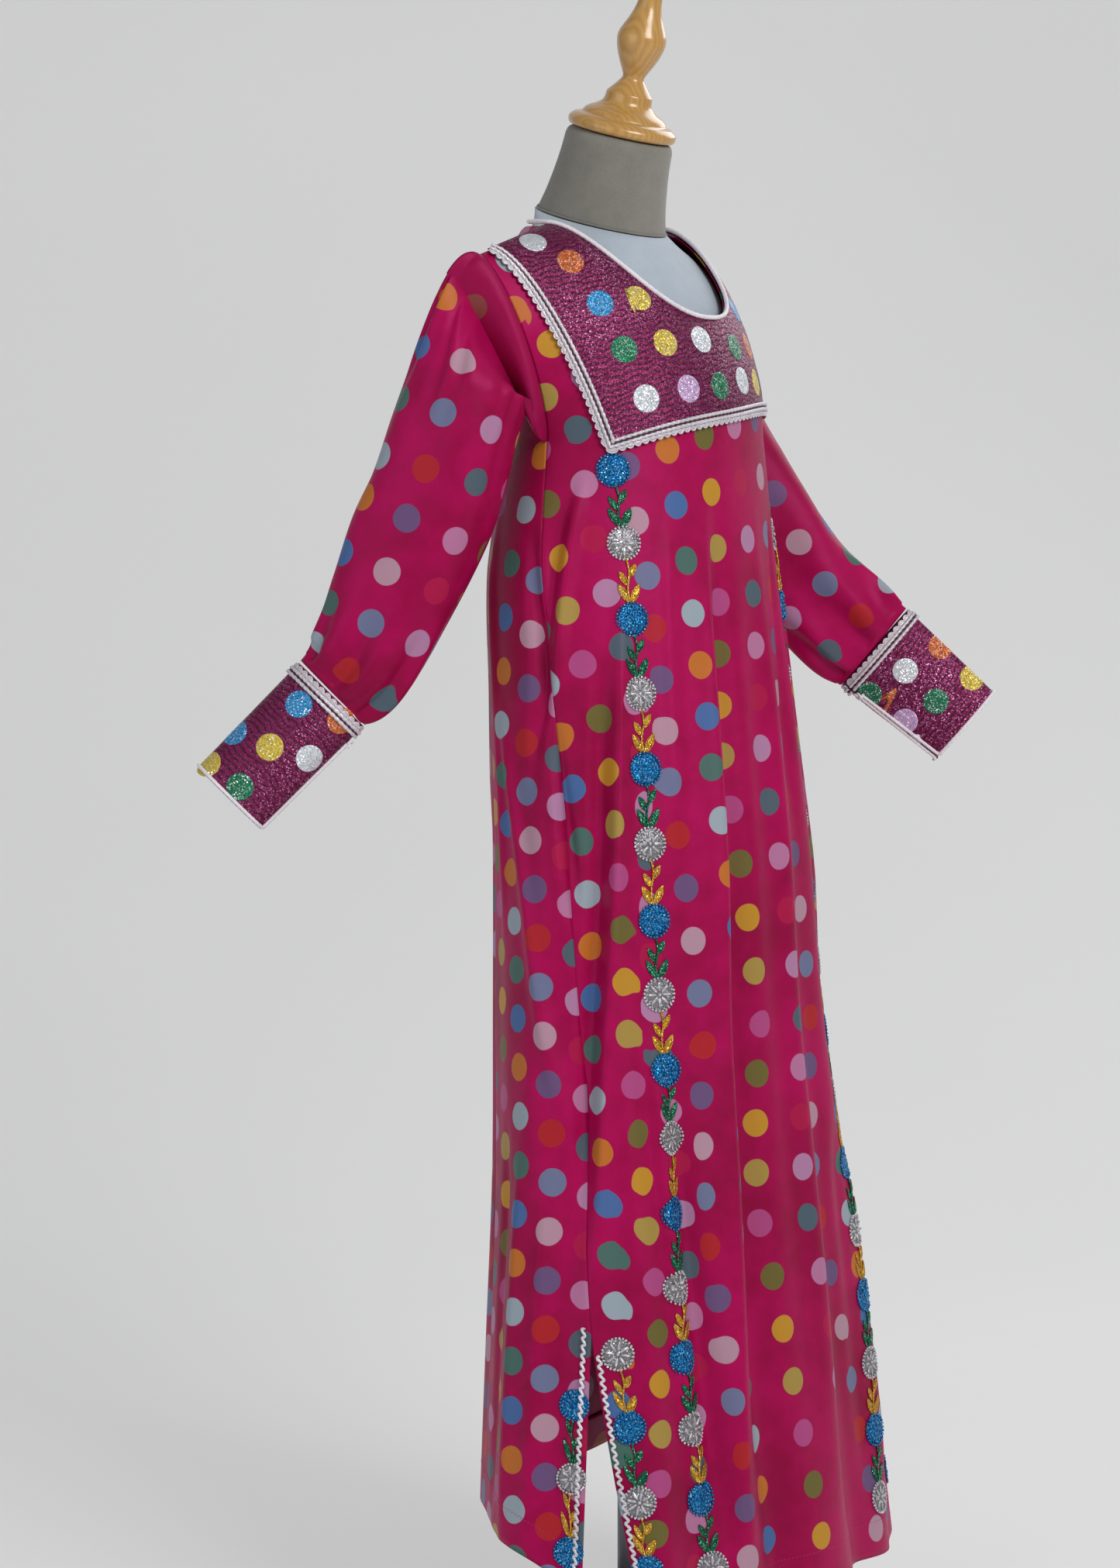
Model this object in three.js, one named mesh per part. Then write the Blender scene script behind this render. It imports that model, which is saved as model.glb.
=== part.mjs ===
// Girl's polka-dot thobe on a limbless dress form, in millimetres.
// +Z is up, the thobe faces -Y, the wearer's right side is -X, and the stand's underside is at z = 0.
import * as THREE from 'three';

// Driving sizes.
const CLOTH = 1.2;            // wall of the satin
const LAME = 1.2;             // wall of the yoke and the cuffs
const SEAM = 0.3;             // gap between two sewn pieces
const LIFT = 0.4;             // gap between a small piece and the one it lies on
const YOKE_LIFT = 0.9;       // gap between the yoke and the front panel
const ARMPIT_Z = 965;
const BELOW_ARMPIT = 250;     // millimetres for each unit of share under the armpit
const HEM_Z = 120;            // about where the hem hangs
const SHOULDER = { x: 155, y: 38, z: 1103 };
const NECK = { x: 81, y: 29, z: 1126 };
const NECK_DEPTH = 0.61;      // how much of a centre column the front neckline cuts away
const BACK_NECK = { y: 83.5, z: 1129, bulge: 9, power: 1.6 };
const YOKE = { bottomZ: 985, cornerX: 104.5, topX: 146, midX: 129 };
const BRAID = { width: 8.5, thick: 1.8, scallop: 6.2, scallopOut: 2.2 };
const PIPING_R = 1.7;
const TRIM = { from: 0.008, to: 0.045, thick: 1.3, lift: 0.8 };
const CUFF_SLIT = { top: 3, end: 11 };

// Horizontal sections of the skirt, from below the hem to the armpit.
const SKIRT = [
  { z: 60, halfWidth: 224, halfDepth: 128, centreY: -50 },
  { z: 165, halfWidth: 213, halfDepth: 122, centreY: -44 },
  { z: 285, halfWidth: 200, halfDepth: 115, centreY: -38 },
  { z: 405, halfWidth: 183, halfDepth: 109, centreY: -31 },
  { z: 525, halfWidth: 169, halfDepth: 105, centreY: -22 },
  { z: 645, halfWidth: 158, halfDepth: 104, centreY: -16 },
  { z: 765, halfWidth: 148, halfDepth: 101, centreY: -6 },
  { z: 867, halfWidth: 138, halfDepth: 98, centreY: 2 },
  { z: 965, halfWidth: 122, halfDepth: 88, centreY: 0 },
];

// Height of the hem, by degrees round from the front centre: it rises over the hips and at the back.
const HEM = [
  { angle: 0, z: 90 },
  { angle: 45, z: 84 },
  { angle: 70, z: 112 },
  { angle: 93, z: 146 },
  { angle: 130, z: 158 },
  { angle: 180, z: 148 },
];

// Where the side seam runs, in degrees round from the front centre.
const SIDE_SEAM = [
  { z: 60, front: 52, back: 72 },
  { z: 120, front: 55, back: 71 },
  { z: 306, front: 67.5, back: 67.5 },
  { z: 370, front: 70, back: 70 },
  { z: 485, front: 70, back: 70 },
  { z: 650, front: 77, back: 77 },
  { z: 780, front: 81, back: 81 },
  { z: 965, front: 90, back: 90 },
];

// Long folds: angle at the hem and at the start, half-width in degrees, height above the smooth cloth.
const FOLDS = [
  { hem: -24, start: -22, spread: 7, out: 9, startZ: 930 },
  { hem: -13, start: -12, spread: 7, out: -15, startZ: 930 },
  { hem: 6, start: 3, spread: 9, out: 5, startZ: 700 },
  { hem: 22, start: 24, spread: 8, out: -11, startZ: 900 },
  { hem: 34, start: 33, spread: 8, out: 7, startZ: 900 },
  { hem: -36, start: -52, spread: 6, out: -9, startZ: 620 },
  { hem: -47, start: -60, spread: 6, out: 8, startZ: 820 },
  { hem: -78, start: -73, spread: 7, out: -6, startZ: 880 },
  { hem: 50, start: 60, spread: 7, out: 8, startZ: 800 },
  { hem: 64, start: 73, spread: 7, out: -9, startZ: 880 },
  { hem: -96, start: -84, spread: 8, out: 5, startZ: 900 },
  { hem: 97, start: 84, spread: 8, out: 6, startZ: 900 },
  { hem: 120, start: 124, spread: 11, out: -7, startZ: 860 },
  { hem: 142, start: 142, spread: 10, out: 6, startZ: 760 },
  { hem: 170, start: 168, spread: 12, out: -7, startZ: 820 },
  { hem: -150, start: -152, spread: 11, out: 5, startZ: 780 },
  { hem: -122, start: -116, spread: 10, out: -5, startZ: 860 },
];

// Sleeve sections: centre, then half-sizes outward and forward. "at" is the share of the sleeve's length.
const RIGHT_SLEEVE = [
  { at: 0.20, x: -165, y: 41, z: 1005, outward: 44, forward: 34 },
  { at: 0.32, x: -173, y: 50, z: 970, outward: 46, forward: 34 },
  { at: 0.46, x: -181, y: 61, z: 924, outward: 48, forward: 33 },
  { at: 0.57, x: -189, y: 73, z: 890, outward: 49, forward: 32 },
  { at: 0.70, x: -198, y: 87, z: 849, outward: 46, forward: 31 },
  { at: 0.80, x: -205, y: 97, z: 821, outward: 43, forward: 29 },
  { at: 0.90, x: -214, y: 110, z: 794, outward: 40, forward: 25 },
  { at: 1.00, x: -224, y: 124, z: 778, outward: 34, forward: 18 },
];
const LEFT_SLEEVE = [
  { at: 0.20, x: 165, y: 43, z: 1012, outward: 34, forward: 37 },
  { at: 0.32, x: 173, y: 33, z: 968, outward: 39, forward: 36 },
  { at: 0.46, x: 178, y: 12, z: 925, outward: 43, forward: 34 },
  { at: 0.57, x: 185, y: -7, z: 893, outward: 44, forward: 31 },
  { at: 0.70, x: 196, y: -28, z: 856, outward: 45, forward: 27 },
  { at: 0.80, x: 208, y: -46, z: 832, outward: 45, forward: 23 },
  { at: 0.90, x: 219, y: -64, z: 812, outward: 44, forward: 17 },
  { at: 1.00, x: 231, y: -80, z: 796, outward: 41, forward: 10 },
];
const RIGHT_CUFF = { end: { x: -276, y: 182, z: 700 }, outward: 33, forward: 17, slitAt: 180 };
const LEFT_CUFF = { end: { x: 272, y: -143, z: 731 }, outward: 36, forward: 11, slitAt: 205 };
// Directions, level with the floor, in which each sleeve lies flattest.
const RIGHT_OUTWARD = new THREE.Vector3(-0.545, 0.839, 0);
const LEFT_OUTWARD = new THREE.Vector3(0.545, -0.839, 0);

// Dress form: sections from the underside of the torso to the neck seam. "lean" tips the section forward.
const TORSO = [
  { z: 585, halfWidth: 84, halfDepth: 62, centreY: 2, lean: 0, power: 2 },
  { z: 592, halfWidth: 94, halfDepth: 70, centreY: 2, lean: 0, power: 2 },
  { z: 680, halfWidth: 104, halfDepth: 78, centreY: 2, lean: 0, power: 2 },
  { z: 790, halfWidth: 92, halfDepth: 70, centreY: 2, lean: 0, power: 2 },
  { z: 900, halfWidth: 99, halfDepth: 74, centreY: 4, lean: 0, power: 2 },
  { z: 970, halfWidth: 102, halfDepth: 77, centreY: 4, lean: 0, power: 2 },
  { z: 1030, halfWidth: 104, halfDepth: 74, centreY: 8, lean: 0.02, power: 2 },
  { z: 1068, halfWidth: 107, halfDepth: 68, centreY: 12, lean: 0.1, power: 1.85 },
  { z: 1092, halfWidth: 110, halfDepth: 60, centreY: 16, lean: 0.2, power: 1.7 },
  { z: 1108, halfWidth: 100.2, halfDepth: 54, centreY: 21, lean: 0.26, power: 1.65 },
  { z: 1122, halfWidth: 71, halfDepth: 51, centreY: 27, lean: 0.268, power: 1.85 },
  { z: 1132, halfWidth: 52, halfDepth: 51, centreY: 32, lean: 0.268, power: 2 },
];
const FORM_NECK = { baseR: 51, topR: 41.5, baseZ: 1132, baseY: 32, length: 68, lean: 15 };
// Turned wooden cap: radius and height above its own underside.
const CAP_PROFILE = [
  { r: 0, h: 0 }, { r: 39.5, h: 0 }, { r: 42.3, h: 3 }, { r: 42.3, h: 7.5 }, { r: 38, h: 11 },
  { r: 33, h: 12.5 }, { r: 30, h: 17 }, { r: 22, h: 21 }, { r: 18.4, h: 24.5 }, { r: 18, h: 31 },
  { r: 12.5, h: 37.5 }, { r: 9.8, h: 41 }, { r: 8, h: 44 }, { r: 9.5, h: 48 }, { r: 14, h: 56 },
  { r: 18, h: 66 }, { r: 19.4, h: 75 }, { r: 16.5, h: 82 }, { r: 12, h: 91 }, { r: 8.6, h: 103 },
  { r: 9.5, h: 122 }, { r: 7.5, h: 133 }, { r: 0, h: 137 },
];
const POLE = { r: 13, bottom: 16.3, top: 584.7 };
const BASE = { r: 155, rim: 12, crown: 16 };

const colour = (hex, roughness, metalness = 0) => new THREE.MeshStandardMaterial({ color: hex, roughness, metalness });
const SATIN = colour('#c8146a', 0.42);
const LAME_CLOTH = colour('#8e1057', 0.35, 0.4);
const WHITE_BRAID = colour('#d8d2d6', 0.5, 0.2);
const JERSEY = colour('#d9d8cf', 0.9);
const GREY_JERSEY = colour('#aaa699', 0.9);
const WOOD = colour('#a9672c', 0.3);
const STEEL = colour('#5d5d60', 0.35, 0.8);

const group = new THREE.Group();
const { lerp, clamp, smoothstep, degToRad } = THREE.MathUtils;
const vec = (x, y, z) => new THREE.Vector3(x, y, z);

// Reads a table by its key column, with smooth slopes between the rows.
function readTable(rows, key, column, value) {
  const last = rows.length - 1;
  if (value <= rows[0][key]) return rows[0][column];
  if (value >= rows[last][key]) return rows[last][column];
  let i = 0;
  while (rows[i + 1][key] < value) i += 1;
  const before = rows[Math.max(i - 1, 0)];
  const here = rows[i];
  const next = rows[i + 1];
  const after = rows[Math.min(i + 2, last)];
  const span = next[key] - here[key];
  const u = (value - here[key]) / span;
  const slopeHere = (next[column] - before[column]) / (next[key] - before[key]) * span;
  const slopeNext = (after[column] - here[column]) / (after[key] - here[key]) * span;
  const u2 = u * u;
  const u3 = u2 * u;
  return (2 * u3 - 3 * u2 + 1) * here[column] + (u3 - 2 * u2 + u) * slopeHere
    + (3 * u2 - 2 * u3) * next[column] + (u3 - u2) * slopeNext;
}

// Straight reading between rows, for the seam angles.
function readStraight(rows, key, column, value) {
  const v = clamp(value, rows[0][key], rows[rows.length - 1][key]);
  let i = 0;
  while (i < rows.length - 2 && rows[i + 1][key] < v) i += 1;
  return lerp(rows[i][column], rows[i + 1][column], (v - rows[i][key]) / (rows[i + 1][key] - rows[i][key]));
}

// Height of the folds above the smooth skirt at an angle and a height.
function foldHeight(angle, z) {
  let sum = 0;
  for (const fold of FOLDS) {
    const down = smoothstep(fold.startZ - z, 0, fold.startZ - HEM_Z);
    const reach = clamp((fold.startZ - z) / 160, 0, 1);
    const middle = lerp(fold.start, fold.hem, down);
    let away = angle - middle;
    if (away > 180) away -= 360;
    if (away < -180) away += 360;
    const bump = Math.exp(-((away / fold.spread) ** 2));
    sum += fold.out * bump * (0.35 + 0.65 * down) * reach;
  }
  return sum;
}

// A point of the skirt: angle in degrees from the front centre, height in millimetres.
function skirtPoint(angle, z) {
  const a = readTable(SKIRT, 'z', 'halfWidth', z) + foldHeight(angle, z);
  const b = readTable(SKIRT, 'z', 'halfDepth', z) + foldHeight(angle, z);
  const turn = degToRad(angle);
  return vec(a * Math.sin(turn), readTable(SKIRT, 'z', 'centreY', z) - b * Math.cos(turn), z);
}

function hemZ(angle) {
  return readTable(HEM, 'angle', 'z', Math.abs(angle));
}

// Share of a front column's climb that is left below the neckline; 1 reaches the shoulder seam.
function topShare(s) {
  const beyond = Math.abs(s) / (NECK.x / SHOULDER.x);
  if (beyond >= 1) return 1;
  return 1 - NECK_DEPTH * (1 - beyond ** 2.4) ** 0.62;
}

// The bodice above the armpit. s runs -1..1 across, share 0..1 from armpit to shoulder; front is 1, back is -1.
function bodicePoint(s, share, front) {
  const angle = front > 0 ? 90 * s : 180 - 90 * s;
  if (share < 0) return skirtPoint(angle, ARMPIT_Z + BELOW_ARMPIT * share);
  const base = skirtPoint(angle, ARMPIT_Z);
  const across = Math.abs(s);
  const neckS = NECK.x / SHOULDER.x;
  const out = clamp((across - neckS) / (1 - neckS), 0, 1);
  const round = front > 0 ? 0 : (1 - Math.min(across / neckS, 1) ** BACK_NECK.power) ** (1 / BACK_NECK.power);
  const top = vec(SHOULDER.x * s, lerp(NECK.y, SHOULDER.y, out), lerp(NECK.z, SHOULDER.z, out));
  top.y += (BACK_NECK.y - NECK.y) * round;
  top.z += (BACK_NECK.z - NECK.z) * round;
  const roundness = front > 0 ? lerp(1.95, 1.35, across ** 2) : lerp(2.3, 1.6, across ** 2);
  const climb = share * Math.PI / 2;
  const up = Math.sin(climb) ** (2 / roundness);
  const over = Math.max(Math.cos(climb), 0) ** (2 / roundness);
  const bulge = Math.sin(Math.PI * Math.min(share, 1)) * across ** (front > 0 ? 6 : 4);
  const blades = front > 0 ? 0 : BACK_NECK.bulge * Math.sin(Math.PI * Math.min(share, 1)) * (1 - across ** 2);
  const y = lerp(top.y, base.y, over) + (front > 0 ? -6 : 24) * bulge + blades;
  const x = lerp(base.x, top.x, up ** 1.2);
  return vec(x, y - front * SEAM / 2 * up, lerp(base.z, top.z, up));
}

// A point of the front (front = 1) or back (front = -1). v is 0 at the hem, 1 at the armpit, 2 at the top edge.
function bodyPoint(s, v, front) {
  if (v >= 1) return bodicePoint(s, (v - 1) * (front > 0 ? topShare(s) : 1), front);
  const column = front > 0 ? 'front' : 'back';
  const guess = hemZ(front > 0 ? 55 * s : 180 - 109 * Math.abs(s));
  const z = lerp(guess, ARMPIT_Z, v);
  const seam = readStraight(SIDE_SEAM, 'z', column, z);
  const angle = front > 0 ? seam * s : 180 - (180 - seam) * s;
  const signed = angle > 180 ? angle - 360 : angle;
  return skirtPoint(signed, z);
}

// Outward normal of a surface given as a function of two parameters.
function normalAt(surface, u, v, side) {
  const h = 0.004;
  const du = surface(u + h, v).sub(surface(u - h, v));
  const dv = surface(u, v + h).sub(surface(u, v - h));
  return du.cross(dv).normalize().multiplyScalar(side);
}

// Outward normal of the front (front = 1) or back (front = -1) at a place on it.
function bodyNormal(s, v, front) {
  const skirt = (u, w) => bodyPoint(u, w, front);
  if (v < 1) return normalAt(skirt, s, v, front);
  return bodiceNormal(s, (v - 1) * (front > 0 ? topShare(s) : 1), front);
}

function bodiceNormal(s, share, front) {
  return normalAt((u, w) => bodicePoint(u, w, front), s, clamp(share, 0.005, 0.995), front);
}

// Builds a closed wall from an outer and an inner grid of points. "loop" joins the last column to the first.
function wall(name, outer, inner, material, loop = false) {
  const rows = outer.length;
  const cols = outer[0].length;
  const position = [];
  for (const grid of [outer, inner]) for (const row of grid) for (const p of row) position.push(p.x, p.y, p.z);
  const at = (layer, i, j) => layer * rows * cols + i * cols + (j % cols);
  const index = [];
  const quad = (a, b, c, d) => index.push(a, b, c, a, c, d);
  const spans = loop ? cols : cols - 1;
  for (let i = 0; i < rows - 1; i += 1) {
    for (let j = 0; j < spans; j += 1) {
      quad(at(0, i, j), at(0, i, j + 1), at(0, i + 1, j + 1), at(0, i + 1, j));
      quad(at(1, i, j), at(1, i + 1, j), at(1, i + 1, j + 1), at(1, i, j + 1));
    }
    if (!loop) {
      quad(at(0, i, 0), at(0, i + 1, 0), at(1, i + 1, 0), at(1, i, 0));
      quad(at(0, i, cols - 1), at(1, i, cols - 1), at(1, i + 1, cols - 1), at(0, i + 1, cols - 1));
    }
  }
  for (let j = 0; j < spans; j += 1) {
    quad(at(0, 0, j), at(1, 0, j), at(1, 0, j + 1), at(0, 0, j + 1));
    quad(at(0, rows - 1, j), at(0, rows - 1, j + 1), at(1, rows - 1, j + 1), at(1, rows - 1, j));
  }
  const geometry = new THREE.BufferGeometry();
  geometry.setAttribute('position', new THREE.Float32BufferAttribute(position, 3));
  geometry.setIndex(volumeOf(position, index) < 0 ? index.reverse() : index);
  geometry.computeVertexNormals();
  const mesh = new THREE.Mesh(geometry, material);
  mesh.name = name;
  group.add(mesh);
  return mesh;
}

function volumeOf(position, index) {
  let six = 0;
  for (let k = 0; k < index.length; k += 3) {
    const [a, b, c] = [0, 1, 2].map((n) => vec().fromArray(position, 3 * index[k + n]));
    six += a.dot(b.cross(c));
  }
  return six;
}

// A wall over a surface: its outward normals, two lists of parameters, and the heights of its two faces.
function clothWall(name, surface, normalOf, acrossList, alongList, outerLift, innerLift, material, loop = false) {
  const layer = (lift) => alongList.map((v) => acrossList.map(
    (u) => surface(u, v).addScaledVector(normalOf(u, v), lift)));
  return wall(name, layer(outerLift), layer(innerLift), material, loop);
}

function steps(count, from, to) {
  return Array.from({ length: count + 1 }, (_, i) => lerp(from, to, i / count));
}

// Front and back: column places bunch where the folds are, and one column meets each neck point.
const neckShare = NECK.x / SHOULDER.x;
const bunched = (count, reach) => steps(count, -1, 1).map((t) => reach * Math.sign(t) * (1 - (1 - Math.abs(t)) ** 3));
const mirrored = (middle, sides) => [...sides.map((s) => -s).reverse(), ...middle.slice(1, -1), ...sides];
const acrossFront = mirrored(bunched(14, neckShare), steps(6, neckShare, 1));
const acrossBack = mirrored(bunched(8, neckShare), steps(5, neckShare, 1));
const closerAtEnd = (count, reach) => steps(count, 0, 1).map((t) => reach * t * (1.6 - 0.6 * t));
const alongBody = [...steps(18, 0, 1).slice(0, -1), ...closerAtEnd(12, 1).map((t) => 1 + t)];

function edgeGap(s) {
  return s * (1 - 0.0016);
}

const frontSurface = (s, v) => bodyPoint(s, v, 1);
const backSurface = (s, v) => bodyPoint(s, v, -1);
const frontNormal = (s, v) => bodyNormal(s, v, 1);
const backNormal = (s, v) => bodyNormal(s, v, -1);
clothWall('front_panel', frontSurface, frontNormal, acrossFront.map(edgeGap), alongBody, 0, -CLOTH, SATIN);
clothWall('back_panel', backSurface, backNormal, acrossBack.map(edgeGap), alongBody, 0, -CLOTH, SATIN);

// Yoke: lies on the front panel. p runs -1..1 across it, q 0..1 from its bottom edge to the neckline.
function bottomHeight(p) {
  return YOKE.bottomZ + 11 * p - 12 * Math.abs(p) ** 3;
}

// Finds the climb share on a bodice column that reaches a height.
function shareAtZ(s, z) {
  let low = -0.2;
  let high = 1;
  for (let k = 0; k < 30; k += 1) {
    const mid = (low + high) / 2;
    if (bodicePoint(s, mid, 1).z < z) low = mid;
    else high = mid;
  }
  return low;
}

// Finds the column that passes a sideways distance at a climb share.
function columnAtX(x, share) {
  let low = -1.1;
  let high = 1.1;
  for (let k = 0; k < 30; k += 1) {
    const mid = (low + high) / 2;
    if (bodicePoint(mid, share, 1).x < x) low = mid;
    else high = mid;
  }
  return low;
}

function yokePlace(p, q) {
  const topS = p * YOKE.topX / SHOULDER.x;
  const lowS = columnAtX(p * YOKE.cornerX, 0.08);
  const lowShare = shareAtZ(lowS, bottomHeight(p));
  const s = lerp(lowS, topS, q) + p * 0.03 * Math.sin(Math.PI * q);
  const share = lerp(lowShare, topShare(topS), q);
  return { s, share };
}

function yokeSurface(p, q) {
  const { s, share } = yokePlace(p, q);
  return bodicePoint(s, share, 1);
}

function yokeNormal(p, q) {
  const { s, share } = yokePlace(p, q);
  return bodiceNormal(s, Math.max(share, 0.005), 1);
}

const yokeReach = YOKE.topX / SHOULDER.x;
const yokeAcross = [-1, ...acrossFront.filter((s) => Math.abs(s) < yokeReach - 0.01).map((s) => s / yokeReach), 1];
clothWall('front_yoke', yokeSurface, yokeNormal, yokeAcross, closerAtEnd(11, 0.995),
  YOKE_LIFT + LAME, YOKE_LIFT, LAME_CLOTH);

// A band with a scalloped outer edge. "spine" gives points and outward directions along the band.
function scallopBand(name, stations, material) {
  const inner = [];
  const outer = [];
  stations.forEach((station, i) => {
    const reach = BRAID.width / 2 + (i % 2 === 0 ? 0 : BRAID.scallopOut);
    const a = station.point.clone().addScaledVector(station.aside, -BRAID.width / 2);
    const b = station.point.clone().addScaledVector(station.aside, reach);
    inner.push([a, b]);
    outer.push([a, b].map((p) => p.clone().addScaledVector(station.normal, BRAID.thick)));
  });
  return wall(name, outer, inner, material);
}

function walkEdge(surface, places, count) {
  const fine = places.map(([u, v]) => surface(u, v));
  const lengths = [0];
  fine.forEach((p, i) => { if (i) lengths.push(lengths[i - 1] + p.distanceTo(fine[i - 1])); });
  const total = lengths[lengths.length - 1];
  return steps(count, 0, total).map((target) => {
    let i = 0;
    while (i < lengths.length - 2 && lengths[i + 1] < target) i += 1;
    const part = clamp((target - lengths[i]) / (lengths[i + 1] - lengths[i]), 0, 1);
    return [lerp(places[i][0], places[i + 1][0], part), lerp(places[i][1], places[i + 1][1], part)];
  });
}

// The braid round the yoke: down the right edge, along the bottom and up the left edge.
function yokeBraid() {
  const rim = [];
  for (const q of steps(24, 0.965, 0)) rim.push([-1, q]);
  for (const p of steps(40, -1, 1).slice(1)) rim.push([p, 0]);
  for (const q of steps(24, 0, 0.965).slice(1)) rim.push([1, q]);
  const height = YOKE_LIFT + LAME + LIFT;
  const count = 2 * Math.round(545 / BRAID.scallop);
  const places = walkEdge(yokeSurface, rim, count);
  const points = places.map(([p, q]) => yokeSurface(p, q));
  const stations = places.map(([p, q], i) => {
    const normal = yokeNormal(p, q);
    const ahead = points[Math.min(i + 1, count)].clone().sub(points[Math.max(i - 1, 0)]).normalize();
    const aside = ahead.clone().cross(normal).normalize();
    return { point: points[i].clone().addScaledVector(normal, height), aside, normal };
  });
  return scallopBand('yoke_braid', stations, WHITE_BRAID);
}
yokeBraid();

// Neck piping: a round cord that sits over the raw neck edge of the front, the yoke and the back.
function neckLine() {
  const points = [];
  const rise = YOKE_LIFT + LAME + 0.7 + PIPING_R;
  const raise = (s, share, front) => {
    const edge = bodicePoint(s, share, front);
    const inward = vec(-edge.x, NECK.y - edge.y, 0).normalize();
    return edge.addScaledVector(bodiceNormal(s, share, front), rise).addScaledVector(inward, PIPING_R / 2);
  };
  for (const s of bunched(26, neckShare)) points.push(raise(s, topShare(s), 1));
  for (const s of steps(14, neckShare, -neckShare).slice(1, -1)) {
    points.push(raise(s, 1, -1));
  }
  return points;
}

// A round cord through points; a closed one joins its end to its start.
function cord(name, points, radius, sides, material, closed) {
  const curve = new THREE.CatmullRomCurve3(points, closed, 'centripetal');
  const count = closed ? points.length : points.length - 1;
  const frames = curve.computeFrenetFrames(count, closed);
  const rings = steps(count, 0, 1).slice(0, closed ? -1 : undefined).map((u, i) => {
    const centre = curve.getPoint(u);
    return Array.from({ length: sides }, (_, k) => {
      const turn = 2 * Math.PI * k / sides;
      return centre.clone().addScaledVector(frames.normals[i], radius * Math.cos(turn))
        .addScaledVector(frames.binormals[i], radius * Math.sin(turn));
    });
  });
  const position = [];
  const index = [];
  rings.forEach((ring) => ring.forEach((p) => position.push(p.x, p.y, p.z)));
  const spans = closed ? rings.length : rings.length - 1;
  for (let i = 0; i < spans; i += 1) {
    for (let k = 0; k < sides; k += 1) {
      const a = i * sides + k;
      const b = i * sides + (k + 1) % sides;
      const c = ((i + 1) % rings.length) * sides + (k + 1) % sides;
      const d = ((i + 1) % rings.length) * sides + k;
      index.push(a, b, c, a, c, d);
    }
  }
  if (!closed) {
    const end = (rings.length - 1) * sides;
    for (let k = 1; k < sides - 1; k += 1) {
      index.push(0, k + 1, k);
      index.push(end, end + k, end + k + 1);
    }
  }
  const geometry = new THREE.BufferGeometry();
  geometry.setAttribute('position', new THREE.Float32BufferAttribute(position, 3));
  geometry.setIndex(volumeOf(position, index) < 0 ? index.reverse() : index);
  geometry.computeVertexNormals();
  const mesh = new THREE.Mesh(geometry, material);
  mesh.name = name;
  group.add(mesh);
  return mesh;
}
cord('neck_piping', neckLine(), PIPING_R, 6, WHITE_BRAID, true);

// Sleeves. theta is 0 on the outer side, 90 in front, 180 at the armpit side and 270 behind.
function armholePoint(theta, side) {
  const turn = ((theta % 360) + 360) % 360;
  const front = turn <= 180 ? 1 : -1;
  const share = turn <= 180 ? 1 - turn / 180 : (turn - 180) / 180;
  const edge = bodicePoint(side, share, front);
  const inward = bodicePoint(side * 0.97, share, front);
  return edge.clone().addScaledVector(edge.clone().sub(inward).normalize(), 0.8);
}

function sleeveFrame(rows, at, outwardGuess) {
  const centre = (u) => vec(...['x', 'y', 'z'].map((axis) => readTable(rows, 'at', axis, u)));
  const low = at >= 1 ? 1 : Math.max(at - 0.02, rows[0].at);
  const high = at + 0.02;
  const ahead = centre(high).sub(centre(low)).normalize();
  const outward = outwardGuess.clone().addScaledVector(ahead, -outwardGuess.dot(ahead)).normalize();
  const forward = outward.clone().cross(ahead).normalize();
  return { centre: centre(at), ahead, outward, forward };
}

// Soft folds that run down the sleeve and gather at the shoulder and above the cuff.
function sleeveFold(theta, at, phase) {
  const turn = degToRad(theta);
  const fromTop = (theta + 180) % 360 - 180;
  const head = Math.exp(-((at / 0.16) ** 2) - (fromTop / 60) ** 2);
  const foot = smoothstep(at, 0.62, 0.93) * (1 - 0.55 * smoothstep(at, 0.93, 1));
  return 3.2 * head * Math.cos(11 * turn) + 2.6 * foot * Math.cos(7 * turn + phase)
    + 1.6 * Math.sin(Math.PI * at) * Math.cos(4 * turn + phase + 2 * at);
}

// The sleeve's table with one more row a little way down the cuff, so that both ends meet square.
function withCuffStart(rows, cuff) {
  const last = rows[rows.length - 1];
  const step = { ...last, at: 1.06 };
  for (const axis of ['x', 'y', 'z']) step[axis] = lerp(last[axis], cuff.end[axis], 0.12);
  return [...rows, step];
}

function sleeveSurface(rows, side, outwardGuess, phase) {
  const firstAt = rows[0].at;
  const section = (theta, at) => {
    const frame = sleeveFrame(rows, at, outwardGuess);
    const turn = degToRad(theta);
    const front = frame.forward.clone().multiplyScalar(-side * Math.sign(frame.forward.y * -side) || 1);
    const extra = sleeveFold(theta, at, phase) * (at > 0.985 ? 0.3 : 1);
    return frame.centre.clone()
      .addScaledVector(frame.outward, (readTable(rows, 'at', 'outward', at) + extra) * Math.cos(turn))
      .addScaledVector(front, (readTable(rows, 'at', 'forward', at) + extra) * Math.sin(turn));
  };
  return (theta, at) => {
    if (at >= firstAt) return section(theta, at);
    const u = at / firstAt;
    const start = armholePoint(theta, side);
    const finish = section(theta, firstAt);
    const tangentEnd = section(theta, firstAt + 0.03).sub(finish).multiplyScalar(firstAt / 0.03);
    const nearTop = (1 + Math.cos(degToRad(theta))) / 2;
    const tangentStart = vec(side * lerp(75, 74, nearTop), lerp(0, 8, nearTop), lerp(-10, 28, nearTop));
    const u2 = u * u;
    const u3 = u2 * u;
    const gather = sleeveFold(theta, at, phase) * Math.sin(Math.PI * Math.min(u * 1.6, 1) / 2);
    const p = start.multiplyScalar(2 * u3 - 3 * u2 + 1)
      .addScaledVector(tangentStart, u3 - 2 * u2 + u)
      .addScaledVector(finish, 3 * u2 - 2 * u3)
      .addScaledVector(tangentEnd, u3 - u2);
    return p.addScaledVector(vec(side * 0.5, 0.2, 0.8), gather * (1 - u));
  };
}

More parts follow.
